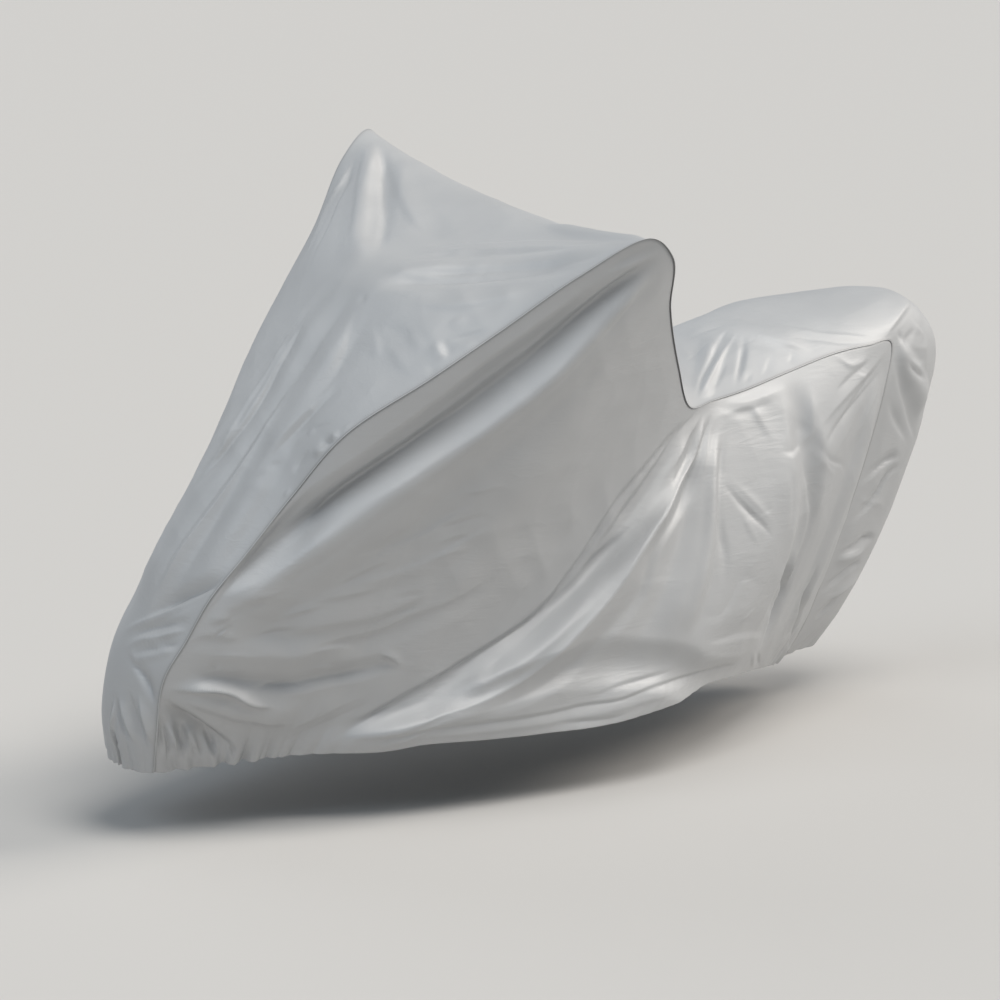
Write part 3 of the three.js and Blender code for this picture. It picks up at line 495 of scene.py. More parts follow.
    "rear_thread": Traced((3, 6, 3), 4, 1.15, 0.1, ((853, 494), (862, 501), (874, 503), (886, 511))),
    "rear_fold_c": Traced((5, 12, 6), -8, 1.15, -0.3, ((836, 553), (851, 547), (864, 538), (876, 539)),
        drawn=(1.6, 1.2)),
    "rear_rib_c": Traced((6, 12, 6), 6, 1.3, -0.1, ((832, 561), (857, 552), (868, 546)),
        drawn=(1.6, 1.1)),
    "rear_fold_d": Traced((5, 12, 6), -9, 1.15, -0.3, ((817, 595), (835, 579), (852, 565), (862, 563)),
        drawn=(1.6, 1.2)),
    "rear_rib_d": Traced((6, 12, 6), 6, 1.3, 0.1, ((821, 604), (846, 587), (862, 571)), drawn=(1.6, 1.1)),
    "rear_low": Traced((5, 10, 6), -5, 1.2, 0.1, ((812, 622), (826, 608), (838, 597)), drawn=(1.6, 1)),
}

# A crease that is not traced has the same values, and a path of stations and places across the panel.
CreasePath = tuple[tuple[float, float], ...]
CreaseTable = dict[str, tuple[tuple[float, float, float], float, float, float, CreasePath]]

# Creases of the far side, which mirror no crease of the near one.
RIGHT_CREASES: CreaseTable = {
    "tip_trough": ((14, 34, 26), -9, 1.7, 0.1, ((11.4, 0.05), (9.2, 0.2), (7, 0.2), (5, 0.1))),
    "tip_rib": ((14, 36, 30), 7, 1.8, 0, ((11.6, 0.1), (9.4, 0.3), (7.2, 0.31), (4.6, 0.22))),
    "lap_edge": ((8, 12, 14), -7, 1.05, -0.4, ((15.1, 0.04), (14.2, 0.3), (12.6, 0.6), (10.4, 0.9))),
    "lap_crest": ((8, 26, 18), 11, 1.2, -0.3, ((15.4, 0.04), (15, 0.3), (14, 0.6), (12, 0.88))),
    "rear_rib": ((12, 26, 30), 6, 1.8, 0, ((16.6, 0.06), (16.9, 0.4), (16.6, 0.85))),
    "rear_trough": ((10, 22, 18), -9, 1.4, 0, ((20.2, 0.2), (20.6, 0.5), (21, 0.85))),
    "corner_fold": ((6, 16, 12), -6, 1.2, 0, ((21, 0.04), (20.2, 0.2), (19.2, 0.45))),
    "front_crest": ((6, 14, 10), 7, 1.2, 0.2, ((3, 0.5), (5, 0.62), (8, 0.7), (11, 0.76))),
    "front_band": ((14, 24, 18), -6, 1.6, 0, ((4, 0.3), (7, 0.5), (10, 0.56), (12, 0.6))),
}


def smooth(value: Array, low: float, high: float) -> Array:
    """Goes softly from 0 at low to 1 at high.

    Args:
        value: The numbers to grade.
        low: Where the result is 0.
        high: Where the result is 1.

    Returns:
        The graded numbers.
    """
    part = np.clip((value - low) / (high - low), 0, 1)
    return part * part * (3 - 2 * part)


def unit(vectors: Array) -> Array:
    """Scales vectors to a length of one.

    Args:
        vectors: Vectors along the last axis.

    Returns:
        The same directions, one long.
    """
    return vectors / np.maximum(np.linalg.norm(vectors, axis=-1, keepdims=True), 1e-9)


def lerp(start: Array, end: Array, part: Array) -> Array:
    """Mixes two values.

    Args:
        start: The value at part 0.
        end: The value at part 1.
        part: The share of the way from start to end.

    Returns:
        The mixed value.
    """
    return start + (end - start) * part


class Rail:
    """A smooth curve through one point a station, by the centripetal Catmull-Rom rule."""

    def __init__(self, points: Array) -> None:
        """Works out the curve's pieces.

        Args:
            points: The points, one a row.
        """
        first = 2 * points[:1] - points[1:2]
        last = 2 * points[-1:] - points[-2:-1]
        p = np.concatenate([first, points, last])
        step = np.linalg.norm(np.diff(p, axis=0), axis=1) ** 0.5
        step[1:-1] = np.where(step[1:-1] < 1e-4, 1, step[1:-1])
        before, within, after = (part[:, None] for part in (step[:-2], step[1:-1], step[2:]))
        before = np.where(before < 1e-4, within, before)
        after = np.where(after < 1e-4, within, after)
        p0, p1, p2, p3 = p[:-3], p[1:-2], p[2:-1], p[3:]
        leave = ((p1 - p0) / before - (p2 - p0) / (before + within) + (p2 - p1) / within) * within
        enter = ((p2 - p1) / within - (p3 - p1) / (within + after) + (p3 - p2) / after) * within
        self.terms = (p1, leave, 3 * (p2 - p1) - 2 * leave - enter, 2 * (p1 - p2) + leave + enter)

    def at(self, station: Array) -> Array:
        """Finds places on the curve.

        Args:
            station: Station numbers, whole ones being the points.

        Returns:
            The places, with the coordinates along the last axis.
        """
        count = len(self.terms[0])
        station = np.clip(station, 0, count)
        piece = np.minimum(np.floor(station).astype(int), count - 1)
        part = (station - piece)[..., None]
        a, b, c, d = (term[piece] for term in self.terms)
        return a + part * (b + part * (c + part * d))


class Side(Enum):
    """The cover's two hands."""

    LEFT = -1
    RIGHT = 1


class CoverForm:
    """The upright cover's smooth form, from the table of stations."""

    def __init__(self) -> None:
        """Lays the rails through the stations."""
        rows = np.array(list(STATIONS.values()), dtype=float)
        column = {name: rows[:, i] for i, name in enumerate(STATION_COLUMNS)}
        zero = np.zeros(len(rows))
        self.last = len(rows) - 1
        self.seam = {
            Side.LEFT: Rail(np.stack([column["seam_x"], -column["seam_y"], column["seam_z"]], 1)),
            Side.RIGHT: Rail(np.stack([
                column["seam_x"] + column["right_x"], column["seam_y"],
                column["seam_z"] + column["right_z"],
            ], 1)),
        }
        self.hem = {
            side: Rail(np.stack([column["hem_x"], side.value * column["hem_y"], column["hem_z"]], 1))
            for side in Side
        }
        self.middle = Rail(np.stack([column["middle_x"], zero, column["middle_z"]], 1))
        self.shape = Rail(np.stack([column["belly"], 100 * column["crown"], zero], 1))

    def side_point(self, side: Side, station: Array, down: Array) -> Array:
        """Finds places on a side panel.

        Args:
            side: Which panel.
            station: Station numbers.
            down: 0 at the seam and 1 at the hem.

        Returns:
            The places in millimetres.
        """
        point = lerp(self.seam[side].at(station), self.hem[side].at(station), down[..., None])
        belly = self.shape.at(station)[..., 0] * 4 * down * (1 - down)
        point[..., 1] += np.sign(point[..., 1]) * belly
        return point

    def strip_point(self, station: Array, across: Array) -> Array:
        """Finds places on the strip between the side panels.

        Args:
            station: Station numbers.
            across: -1 at the left seam, 0 in the middle and 1 at the right seam.

        Returns:
            The places in millimetres.
        """
        left, right = self.seam[Side.LEFT].at(station), self.seam[Side.RIGHT].at(station)
        seam = np.where((across < 0)[..., None], left, right)
        middle = self.middle.at(station)
        away = np.abs(across)
        reach = away ** (self.shape.at(station)[..., 1] / 100)
        return np.stack([
            lerp(middle[..., 0], seam[..., 0], reach),
            seam[..., 1] * away,
            lerp(middle[..., 2], seam[..., 2], reach),
        ], -1)

    def left(self, station: Array, across: Array) -> Array:
        """The left panel, from its hem at 0 to its seam at 1."""
        return self.side_point(Side.LEFT, station, 1 - across)

    def strip(self, station: Array, across: Array) -> Array:
        """The strip, from the left seam at 0 to the right seam at 1."""
        return self.strip_point(station, 2 * across - 1)

    def right(self, station: Array, across: Array) -> Array:
        """The right panel, from its seam at 0 to its hem at 1."""
        return self.side_point(Side.RIGHT, station, across)


Surface = Callable[[Array, Array], Array]


def normals_of(surface: Surface, last: int, station: Array, across: Array) -> Array:
    """Finds a surface's outward directions.

    The wide step along the stations keeps them even from one station to the next.

    Args:
        surface: The surface.
        last: The last station's number.
        station: Station numbers.
        across: Places across the panel.

    Returns:
        The directions, one long.
    """
    along = surface(np.clip(station + 0.4, 0, last), across)
    along = along - surface(np.clip(station - 0.4, 0, last), across)
    step = 0.02
    over = surface(station, np.clip(across + step, 0, 1))
    over = over - surface(station, np.clip(across - step, 0, 1))
    return unit(np.cross(along, over))


@dataclass(frozen=True)
class Fold:
    """One of the main folds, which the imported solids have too.

    It runs between two points, bowed sideways at its middle, with a half width at its start, middle and
    end. Above nought, skew widens its left-hand side, as seen from outside along it.
    """

    start: tuple[float, float, float]
    end: tuple[float, float, float]
    bow: float
    wide: tuple[float, float, float]
    high: float
    skew: float

    @classmethod
    def from_row(cls, row: Sequence[float]) -> "Fold":
        """Reads a fold from its row.

        Args:
            row: The row's numbers, in the order of FOLD_COLUMNS.

        Returns:
            The fold.
        """
        of = dict(zip(FOLD_COLUMNS, row))
        return cls(
            start=(of["x1"], of["y1"], of["z1"]),
            end=(of["x2"], of["y2"], of["z2"]),
            bow=of["bow"],
            wide=(of["wide_start"], of["wide_middle"], of["wide_end"]),
            high=of["high"],
            skew=of["skew"],
        )

    def height(self, point: Array, normal: Array) -> Array:
        """Works out how far the fold lifts the cloth.

        Args:
            point: Places on the smooth panel.
            normal: Its outward directions there.

        Returns:
            The lift in millimetres.
        """
        start = np.array(self.start, dtype=float)
        run = np.array(self.end, dtype=float) - start
        offset = point - start
        part = offset @ run / (run @ run)
        middle = 4 * part * (1 - part)
        wide = lerp(self.wide[0], self.wide[2], part)
        wide = wide + (self.wide[1] - (self.wide[0] + self.wide[2]) / 2) * middle
        sideways = unit(np.cross(normal, run))
        away = np.sum((offset - part[..., None] * run) * sideways, -1) - self.bow * middle
        reach = away / (np.maximum(wide, 1) * (1 + np.sign(away) * self.skew))
        within = (part > 0) & (part < 1) & (np.abs(reach) < 1)
        ends = smooth(part, 0, FOLD_FADE) * smooth(1 - part, 0, FOLD_FADE)
        return np.where(within, self.high * ends * (1 - reach**2) ** 2, 0)


@dataclass(frozen=True)
class Crease:
    """One of the smaller creases, along a path over its panel."""

    wide: tuple[float, float, float]
    high: float
    round: float
    skew: float
    path: CreasePath
    spacing: float = 5.0
    longest_fade: float = 110.0

    def line(self, surface: Surface) -> Array:
        """Lays the crease's path on the smooth panel, in even steps.

        Args:
            surface: The panel's smooth surface.

        Returns:
            The places along it, in millimetres.
        """
        knots = np.array(self.path, dtype=float)
        curve = Rail(np.column_stack([knots[:, 0], knots[:, 1] * 12, np.zeros(len(knots))]))
        fine = curve.at(np.linspace(0, len(knots) - 1, 24 * len(knots)))
        points = surface(fine[:, 0], np.clip(fine[:, 1] / 12, 0, 1))
        kernel = np.ones(15) / 15
        padded = np.pad(points, ((7, 7), (0, 0)), mode="edge")
        points = np.stack([np.convolve(padded[:, k], kernel, "valid") for k in range(3)], 1)
        run = np.concatenate([[0], np.cumsum(np.linalg.norm(np.diff(points, axis=0), axis=1))])
        count = int(np.clip(run[-1] / self.spacing, 6, 240))
        even = np.linspace(0, run[-1], count)
        return np.stack([np.interp(even, run, points[:, k]) for k in range(3)], 1)

    def add_to(self, height: Array, point: Array, normal: Array, surface: Surface) -> None:
        """Adds the crease's lift to that of the cloth.

        Args:
            height: The lift so far, in millimetres, which is changed.
            point: Places on the smooth panel, one a row.
            normal: Its outward directions there.
            surface: The panel's smooth surface.
        """
        line = self.line(surface)
        reach_of = max(self.wide) * (1 + abs(self.skew))
        near = np.all(
            (point > line.min(0) - reach_of) & (point < line.max(0) + reach_of), axis=1
        ).nonzero()[0]
        if not len(near):
            return
        run = unit(np.gradient(line, axis=0))
        spacing = np.linalg.norm(line[1] - line[0])
        for chunk in np.array_split(near, max(1, len(near) * len(line) // 4_000_000 + 1)):
            p = point[chunk]
            square = np.sum(p**2, 1)[:, None] + np.sum(line**2, 1)[None] - 2 * p @ line.T
            nearest = np.argmin(square, axis=1)
            offset = p - line[nearest]
            tangent = run[nearest]
            forward = np.sum(offset * tangent, 1)
            side = unit(np.cross(normal[chunk], tangent))
            away = np.sum(offset * side, 1)
            part = (nearest + np.clip(forward / spacing, -1, 1)) / (len(line) - 1)
            beyond = np.where((nearest == 0) | (nearest == len(line) - 1), np.abs(forward), 0)
            middle = np.clip(4 * part * (1 - part), 0, 1)
            wide = lerp(self.wide[0], self.wide[2], np.clip(part, 0, 1))
            wide = wide + (self.wide[1] - (self.wide[0] + self.wide[2]) / 2) * middle
            reach = away / (np.maximum(wide, 2) * (1 + np.sign(away) * self.skew))
            shape = np.clip(1 - np.abs(reach) ** self.round, 0, 1) ** 2
            fade = min(0.42, self.longest_fade / (spacing * (len(line) - 1)))
            ends = smooth(part, 0, fade) * smooth(1 - part, 0, fade)
            height[chunk] += self.high * ends * shape * (beyond < spacing)


def in_part_frame(point: Array) -> Array:
    """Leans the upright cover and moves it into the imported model's frame.

    Args:
        point: Places in millimetres, one a row.

    Returns:
        The places in metres.
    """
    def leaned(p: Array) -> Array:
        y = p[..., 1] * math.cos(LEAN) - p[..., 2] * math.sin(LEAN)
        z = p[..., 1] * math.sin(LEAN) + p[..., 2] * math.cos(LEAN)
        return np.stack([p[..., 0], y, z], -1)

    return (leaned(point) - leaned(ORIGIN)) * MM


@dataclass(frozen=True)
class PhotoView:
    """The photograph's camera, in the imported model's frame and metres."""

    place: tuple[float, float, float] = (-4.9856, -5.3361, 0.6851)
    target: tuple[float, float, float] = (0.125, 0.1443, -0.5824)
    lens: float = 140.4
    sensor: float = 36.0
    pixels: float = 1000.0

    def seen(self, point: Array) -> tuple[Array, Array]:
        """Finds where places show in the photograph.

        Args:
            point: The places.

        Returns:
            Their pixels, and how far they are from the camera.
        """
        ahead = unit(np.subtract(self.target, self.place))
        right = unit(np.cross(ahead, (0, 0, 1)))
        offset = point - np.array(self.place)
        deep = offset @ ahead
        scale = self.pixels * self.lens / self.sensor / deep
        column = self.pixels / 2 + offset @ right * scale
        row = self.pixels / 2 - offset @ np.cross(right, ahead) * scale
        return np.stack([column, row], -1), deep


VIEW = PhotoView()


@dataclass(frozen=True)
class PhotoNet:
    """A fine net over a panel and its main folds, with where the photograph shows its knots."""

    station: Array
    across: Array
    pixel: Array
    deep: Array
    near: float = 4.0
    layer: float = 0.04

    @classmethod
    def over(cls, surface: Surface, last: int, folds: FoldTable) -> "PhotoNet":
        """Lays the net.

        Args:
            surface: The panel's smooth surface.
            last: The last station's number.
            folds: Its main folds.

        Returns:
            The net.
        """
        columns, rows = np.linspace(0, last, 12 * last + 1), np.linspace(0, 1, 121)
        station, across = np.meshgrid(columns, rows, indexing="ij")
        base = surface(station, across)
        normal = normals_of(surface, last, station, across)
        height = sum(Fold.from_row(row).height(base, normal) for row in folds.values())
        return cls(station, across, *VIEW.seen(in_part_frame(base + normal * height[..., None])))

    def place(self, spot: tuple[float, float]) -> tuple[float, float]:
        """Finds the cloth that the photograph shows at a pixel.

        Args:
            spot: The pixel.

        Returns:
            Its station and its place across the panel.
        """
        away = np.linalg.norm(self.pixel - np.array(spot), axis=-1)
        close = away < max(self.near, away.min() + 1)
        in_front = self.deep < self.deep[close].min() + self.layer
        best = np.argmin(np.where(close & in_front, away, np.inf))
        i, j = np.unravel_index(best, away.shape)
        i, j = min(max(i, 1), away.shape[0] - 2), min(max(j, 1), away.shape[1] - 2)
        along = (self.pixel[i + 1, j] - self.pixel[i - 1, j]) / 2
        over = (self.pixel[i, j + 1] - self.pixel[i, j - 1]) / 2
        rest = np.array(spot) - self.pixel[i, j]
        steps = np.clip(np.linalg.lstsq(np.column_stack([along, over]), rest, rcond=None)[0], -1.5, 1.5)
        station = self.station[i, j] + steps[0] * (self.station[1, 0] - self.station[0, 0])
        across = self.across[i, j] + steps[1] * (self.across[0, 1] - self.across[0, 0])
        return max(station, 0.0), min(max(across, 0.0), 1.0)

    def crease(self, traced: Traced) -> Crease:
        """Lays a traced crease on the cloth.

        Args:
            traced: The crease as it was traced.

        Returns:
            The crease.
        """
        roundest = math.inf
        if traced.drawn:
            wider, higher = traced.drawn
        else:
            wider, higher, roundest = next(row[1:] for row in SOFTENED if max(traced.wide) <= row[0])
        skew = traced.skew
        if not traced.plain and abs(skew) < LEAST_SKEW:
            skew = math.copysign(USUAL_SKEW, skew)
            wider = wider * SKEWED_WIDER
        start, middle, end = (wide * wider for wide in traced.wide)
        path = tuple(self.place(spot) for spot in traced.path)
        return Crease((start, middle, end), traced.high * higher, min(traced.round, roundest), skew, path)


@dataclass(frozen=True)
class Ripple:
    """A gentle unevenness of the cloth, as a sum of waves in random directions."""

    length: tuple[float, float]
    high: float
    waves: int
    seed: int

    def height(self, point: Array) -> Array:
        """Works out the lift.

        Args:
            point: Places in millimetres.

        Returns:
            The lift in millimetres.
        """
        rng = np.random.default_rng(self.seed)
        total = np.zeros(point.shape[:-1])
        for _ in range(self.waves):
            facing = unit(rng.normal(size=3))
            length = rng.uniform(*self.length)
            bend = 0.7 * np.sin(point @ unit(rng.normal(size=3)) * 2 * math.pi / (2.3 * length))
            total += np.sin(point @ facing * 2 * math.pi / length + bend + rng.uniform(0, 6.3))
        return self.high * total / math.sqrt(self.waves / 2)


@dataclass(frozen=True)
class Crumple:
    """Faint crisp lines in patches, where the cloth has been folded away and has lain against itself."""

    length: tuple[float, float]
    high: float
    waves: int
    seed: int

    def height(self, point: Array) -> Array:
        """Works out the lift.

        Args:
            point: Places in millimetres.

        Returns:
            The lift in millimetres.
        """
        rng = np.random.default_rng(self.seed)
        total = np.zeros(point.shape[:-1])
        for _ in range(self.waves):
            length = rng.uniform(*self.length)
            bend = 0.12 * np.sin(point @ unit(rng.normal(size=3)) * 2 * math.pi / (2.7 * length))
            phase = point @ unit(rng.normal(size=3)) / length + bend + rng.uniform()
            ridge = (2 * np.abs(phase % 1 - 0.5)) ** 1.7
            patch = np.sin(point @ unit(rng.normal(size=3)) * 2 * math.pi / (3.1 * length))
            patch = patch + np.sin(point @ unit(rng.normal(size=3)) * 2 * math.pi / (4.3 * length))
            total += ridge * smooth(patch, 0.1, 1.3)
        return self.high * total


@dataclass(frozen=True)
class Gathers:
    """Small pleats where the elastic in the hem draws the cloth in."""

    pitch: float
    high: float
    depth: float
    seed: int

    def height(self, along: Array, inward: Array) -> Array:
        """Works out the lift.

        Args:
            along: The way along the hem, in millimetres.
            inward: The way in from the hem, in millimetres.

        Returns:
            The lift in millimetres.
        """
        rng = np.random.default_rng(self.seed)
        total = np.zeros(np.broadcast(along, inward).shape)
        for k in range(5):
            pitch = self.pitch * rng.uniform(0.7, 1.6)
            drift = 6 * np.sin(along / (4 * self.pitch) + k) + 0.1 * inward * rng.uniform(-1, 1)
            depth = self.depth * rng.uniform(0.5, 1.4)
            ridge = np.abs(np.sin((along + drift) * math.pi / pitch + rng.uniform(0, 3.1))) ** 0.7
            swell = 0.5 + 0.5 * np.sin(along / (pitch * 3.1) + rng.uniform(0, 6.3))
            total += (ridge - 0.75) * swell * np.exp(-((inward / depth) ** 1.5))
        return self.high * total


@dataclass(frozen=True)
class Roll:
    """How an edge is finished: steps away from the panel and up from it, in millimetres."""

    steps: tuple[tuple[float, float], ...]

    @classmethod
    def hem(cls, radius: float = 2.0, up: float = 22.0) -> "Roll":
        """A hem turned under.

        Args:
            radius: The radius of its roll.
            up: How far the cloth goes back up inside.

        Returns:
            The roll.
        """
        turn = [math.radians(a) for a in (30, 60, 90, 120, 150, 180)]
        arc = [(radius * math.sin(a), -radius * (1 - math.cos(a))) for a in turn]
        back = [(-up * part, -2 * radius) for part in (0.35, 0.7, 1.0)]
        return cls(tuple(arc + back))

    @classmethod
    def lap(cls) -> "Roll":
        """The strip's edge, folded over the side panel's."""
        return cls(((1.2, 0.35), (1.9, 0.0), (2.1, -0.4), (1.7, -0.8)))


@dataclass
class Edge:
    """One edge across a panel."""

    seam: bool
    roll: Optional[Roll] = None
    lift: float = 0.0
    lift_depth: float = 5.0


@dataclass
class PanelGrid:
    """A panel's cloth as a grid, with columns along the stations and rows across."""

    point: Array
    flat: Array
    seam_away: Array

    def with_row(self, start: bool, point: Array, step: float) -> "PanelGrid":
        """Adds a row beyond an edge.

        Args:
            start: True at the edge where the rows start.
            point: The new row's places.
            step: How far the new row lies from the edge in the flat cloth, in millimetres.

        Returns:
            The larger grid.
        """
        flat = self.flat[:, :1].copy() if start else self.flat[:, -1:].copy()
        flat[..., 1] += -step if start else step
        away = np.full((len(point), 1), 999.0)
        parts = [
            (point[:, None], self.point), (flat, self.flat), (away, self.seam_away),
        ]
        return PanelGrid(*(np.concatenate(pair if start else pair[::-1], axis=1) for pair in parts))

    def turned(self) -> "PanelGrid":
        """Swaps columns and rows, so that the same work serves the ends."""
        swap = [np.swapaxes(a, 0, 1) for a in (self.point, self.flat[..., ::-1], self.seam_away)]
        return PanelGrid(*swap)


def grid_normals(point: Array) -> Array:
    """Finds the outward directions of a grid.

    Args:
        point: The grid's places.

    Returns:
        Its directions, one long.
    """
    return unit(np.cross(np.gradient(point, axis=0), np.gradient(point, axis=1)))


def evened(directions: Array, reach: int = 4) -> Array:
    """Evens out directions along an edge.

    Args:
        directions: The directions, one a row.
        reach: How many neighbours on each side count.

    Returns:
        Their running means.
    """
    padded = np.pad(directions, ((reach, reach), (0, 0)), mode="edge")
    kernel = np.ones(2 * reach + 1) / (2 * reach + 1)
    return np.stack([np.convolve(padded[:, k], kernel, "valid") for k in range(3)], 1)


def rolled(grid: PanelGrid, start: bool, roll: Roll, flip: bool = False) -> PanelGrid:
    """Adds an edge's roll to a grid.

    Args:
        grid: The grid.
        start: True at the edge where the rows start.
        roll: The roll.
        flip: True where the grid's columns and rows are swapped, which turns its directions over.

    Returns:
        The grid with the roll.
    """
    normal = grid_normals(grid.point)
    normal = -normal if flip else normal
    edge, inside, up = (
        (grid.point[:, 0], grid.point[:, 4], normal[:, 1]) if start
        else (grid.point[:, -1], grid.point[:, -5], normal[:, -2])
    )
    up = unit(evened(up))
    out = unit(evened(unit(edge - inside)))
    out = unit(out - np.sum(out * up, -1, keepdims=True) * up)
    gone, last = 0.0, (0.0, 0.0)
    for step in roll.steps:
        gone += math.dist(step, last)
        last = step
        grid = grid.with_row(start, edge + out * step[0] + up * step[1], gone)
    return grid


@dataclass
class Panel:
    """One sewn panel of the cover, as a single fine sheet."""

    name: str
    node: str
    surface: Surface
    last: int
    columns: int
    rows: int
    edges: tuple[Edge, Edge]
    folds: FoldTable
    gathers: Gathers
    hem_across: Optional[int]
    flat_size: tuple[float, float]
    flat_area: float
    traced: TracedTable = field(default_factory=dict)
    creases: CreaseTable = field(default_factory=dict)
    ripples: tuple[Union[Ripple, Crumple], ...] = ()
    near_rows: tuple[float, ...] = (0, 1.5, 3, 5, 8, 12)
    end_roll: Optional[Roll] = None
    crease_calm: float = 12.0
    corner_lift: float = 10.0
    rests_on: tuple[str, ...] = ()
    built: Optional[PanelGrid] = field(default=None, repr=False)

    def stations(self) -> Array:
        """Spaces the columns evenly along the cloth."""
        fine = np.linspace(0, self.last, 60 * self.last + 1)
        rows = np.linspace(0.1, 0.9, 5)
        points = self.surface(*np.meshgrid(fine, rows, indexing="ij"))
        step = np.linalg.norm(np.diff(points, axis=0), axis=-1).mean(1) + 0.15
        run = np.concatenate([[0], np.cumsum(step)])
        return np.interp(np.linspace(0, run[-1], self.columns + 1), run, fine)

    def places_across(self, station: Array) -> Array:
        """Spaces the rows, with closer ones beside each seam.

        Args:
            station: The columns' station numbers.

        Returns:
            Places across for each column and row.
        """
        fine = np.linspace(0, 1, 41)
        points = self.surface(*np.meshgrid(station, fine, indexing="ij"))
        width = np.linalg.norm(np.diff(points, axis=1), axis=-1).sum(1)
        near = np.array(self.near_rows)
        share = near[None] / np.maximum(width[:, None], 6 * near[-1])
        first = share if self.edges[0].seam else share[:, :1]
        final = 1 - (share[:, ::-1] if self.edges[1].seam else share[:, :1])
        inner = self.rows + 1 - first.shape[1] - final.shape[1]
        part = np.linspace(0, 1, inner + 2)[1:-1]
        between = lerp(first[:, -1:], final[:, :1], part[None])
        return np.concatenate([first, between, final], 1)

    def shaped(self) -> PanelGrid:
        """Works out the panel's cloth.

        Returns:
            Its grid.
        """
        columns = self.stations()
        across = self.places_across(columns)
        station = np.broadcast_to(columns[:, None], across.shape)
        base = self.surface(station, across)
        normal = normals_of(self.surface, self.last, station, across)

        steps = np.linalg.norm(np.diff(base, axis=1), axis=-1)
        run = np.concatenate([np.zeros((len(base), 1)), np.cumsum(steps, 1)], 1)
        along_steps = np.linalg.norm(np.diff(base, axis=0), axis=-1).mean(1)
        along = np.concatenate([[0], np.cumsum(along_steps)])
        flat = np.stack([np.broadcast_to(along[:, None], run.shape), run - run[:, -1:] / 2], -1)
        seam_away = np.full(run.shape, 999.0)
        main_calm = np.ones(run.shape)
        for edge, place, distance in zip(self.edges, (0, 1), (run, run[:, -1:] - run)):
            if edge.seam:
                seam_away = np.minimum(seam_away, distance)
                main_calm = main_calm * smooth(np.abs(across - place), 0, SEAM_CALM)

        height = sum(Fold.from_row(row).height(base, normal) for row in self.folds.values())
        height = height * main_calm
        fine = np.zeros(height.size)
        flat_points, flat_normals = base.reshape(-1, 3), normal.reshape(-1, 3)
        net = PhotoNet.over(self.surface, self.last, self.folds)
        creases = [net.crease(traced) for traced in self.traced.values()]
        creases += [Crease(*row) for row in self.creases.values()]
        for crease in creases:
            crease.add_to(fine, flat_points, flat_normals, self.surface)
        calm = smooth(seam_away, 0, self.crease_calm)
        height = height + fine.reshape(height.shape) * calm
        soft = smooth(seam_away, 0, 60)
        height = height + sum(ripple.height(base) for ripple in self.ripples) * soft
        height = height + self.gathered(base, run, along) * smooth(seam_away, 0, 25)
        for edge, distance in zip(self.edges, (run, run[:, -1:] - run)):
            if edge.lift:
                height = height + edge.lift * np.exp(-((distance / edge.lift_depth) ** 2))
        grid = PanelGrid(base + normal * height[..., None], flat, seam_away)
        if self.hem_across is not None:
            to_hem = run[:, -1:] - run if self.hem_across else run
            to_corner = np.hypot(to_hem, (along[-1] - along)[:, None])
            grid.point[..., 2] += self.corner_lift * np.exp(-((to_corner / 16) ** 2))

        for start, edge in zip((True, False), self.edges):
            if edge.roll:
                grid = rolled(grid, start, edge.roll)
        if self.end_roll:
            grid = grid.turned()
            for start in (True, False):
                grid = rolled(grid, start, self.end_roll, flip=True)
            grid = grid.turned()
        return grid

    def gathered(self, base: Array, run: Array, along: Array) -> Array:
        """Works out the gathers at the hem.

        Args:
            base: Places on the smooth panel.
            run: The way across from the first row, in millimetres.
            along: The way along the panel, by column.

        Returns:
            The lift in millimetres.
        """
        total = along[-1]
        if self.hem_across is None:
            front = self.gathers.height(base[..., 1], np.broadcast_to(along[:, None], run.shape))
            rear = self.gathers.height(base[..., 1], np.broadcast_to(total - along[:, None], run.shape))
            return front * smooth(220 - along, 0, 160)[:, None] + rear * smooth(
                along - total + 220, 0, 160)[:, None]
        inward = run if self.hem_across == 0 else run[:, -1:] - run
        hem = base[:, 0] if self.hem_across == 0 else base[:, -1]
        way = np.concatenate([[0], np.cumsum(np.linalg.norm(np.diff(hem, axis=0), axis=1))])
        strong = 0.12 + 0.88 * (smooth(330 - way, 0, 240) + smooth(way - way[-1] + 200, 0, 150))
        return self.gathers.height(way[:, None], inward) * strong[:, None]

    def build(self, cloth: bpy.types.Material) -> bpy.types.Object:
        """Builds the panel's sheet.

        Args:
            cloth: The material that it wears.

        Returns:
            The sheet.
        """
        grid = self.built = self.shaped()
        columns, rows = grid.point.shape[:2]
        bm = bmesh.new()
        bmesh.ops.create_grid(bm, x_segments=columns - 1, y_segments=rows - 1, size=1)
        mesh = bpy.data.meshes.new(self.name)
        bm.to_mesh(mesh)
        bm.free()
        count = len(mesh.vertices)
        place = np.empty(count * 3)
        mesh.vertices.foreach_get("co", place)
        place = (place.reshape(-1, 3)[:, :2] + 1) / 2 * (columns - 1, rows - 1)
        i, j = np.rint(place).astype(int).T
        mesh.vertices.foreach_set("co", in_part_frame(grid.point[i, j]).ravel())
        corner = np.empty(len(mesh.loops), dtype=np.int32)
        mesh.loops.foreach_get("vertex_index", corner)
        layer = mesh.uv_layers.new(name="flat_cloth")
        layer.data.foreach_set("uv", (grid.flat[i, j] * MM)[corner].ravel())
        away = mesh.attributes.new("seam_away", "FLOAT", "POINT")
        away.data.foreach_set("value", grid.seam_away[i, j])
        mesh.polygons.foreach_set("use_smooth", np.ones(len(mesh.polygons), dtype=bool))
        mesh.update()
        mesh.materials.append(cloth)
        sheet = bpy.data.objects.new(self.name, mesh)
        bpy.context.scene.collection.objects.link(sheet)
        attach(sheet, "root")
        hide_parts(self.node)
        return sheet


Number = Union[int, float]


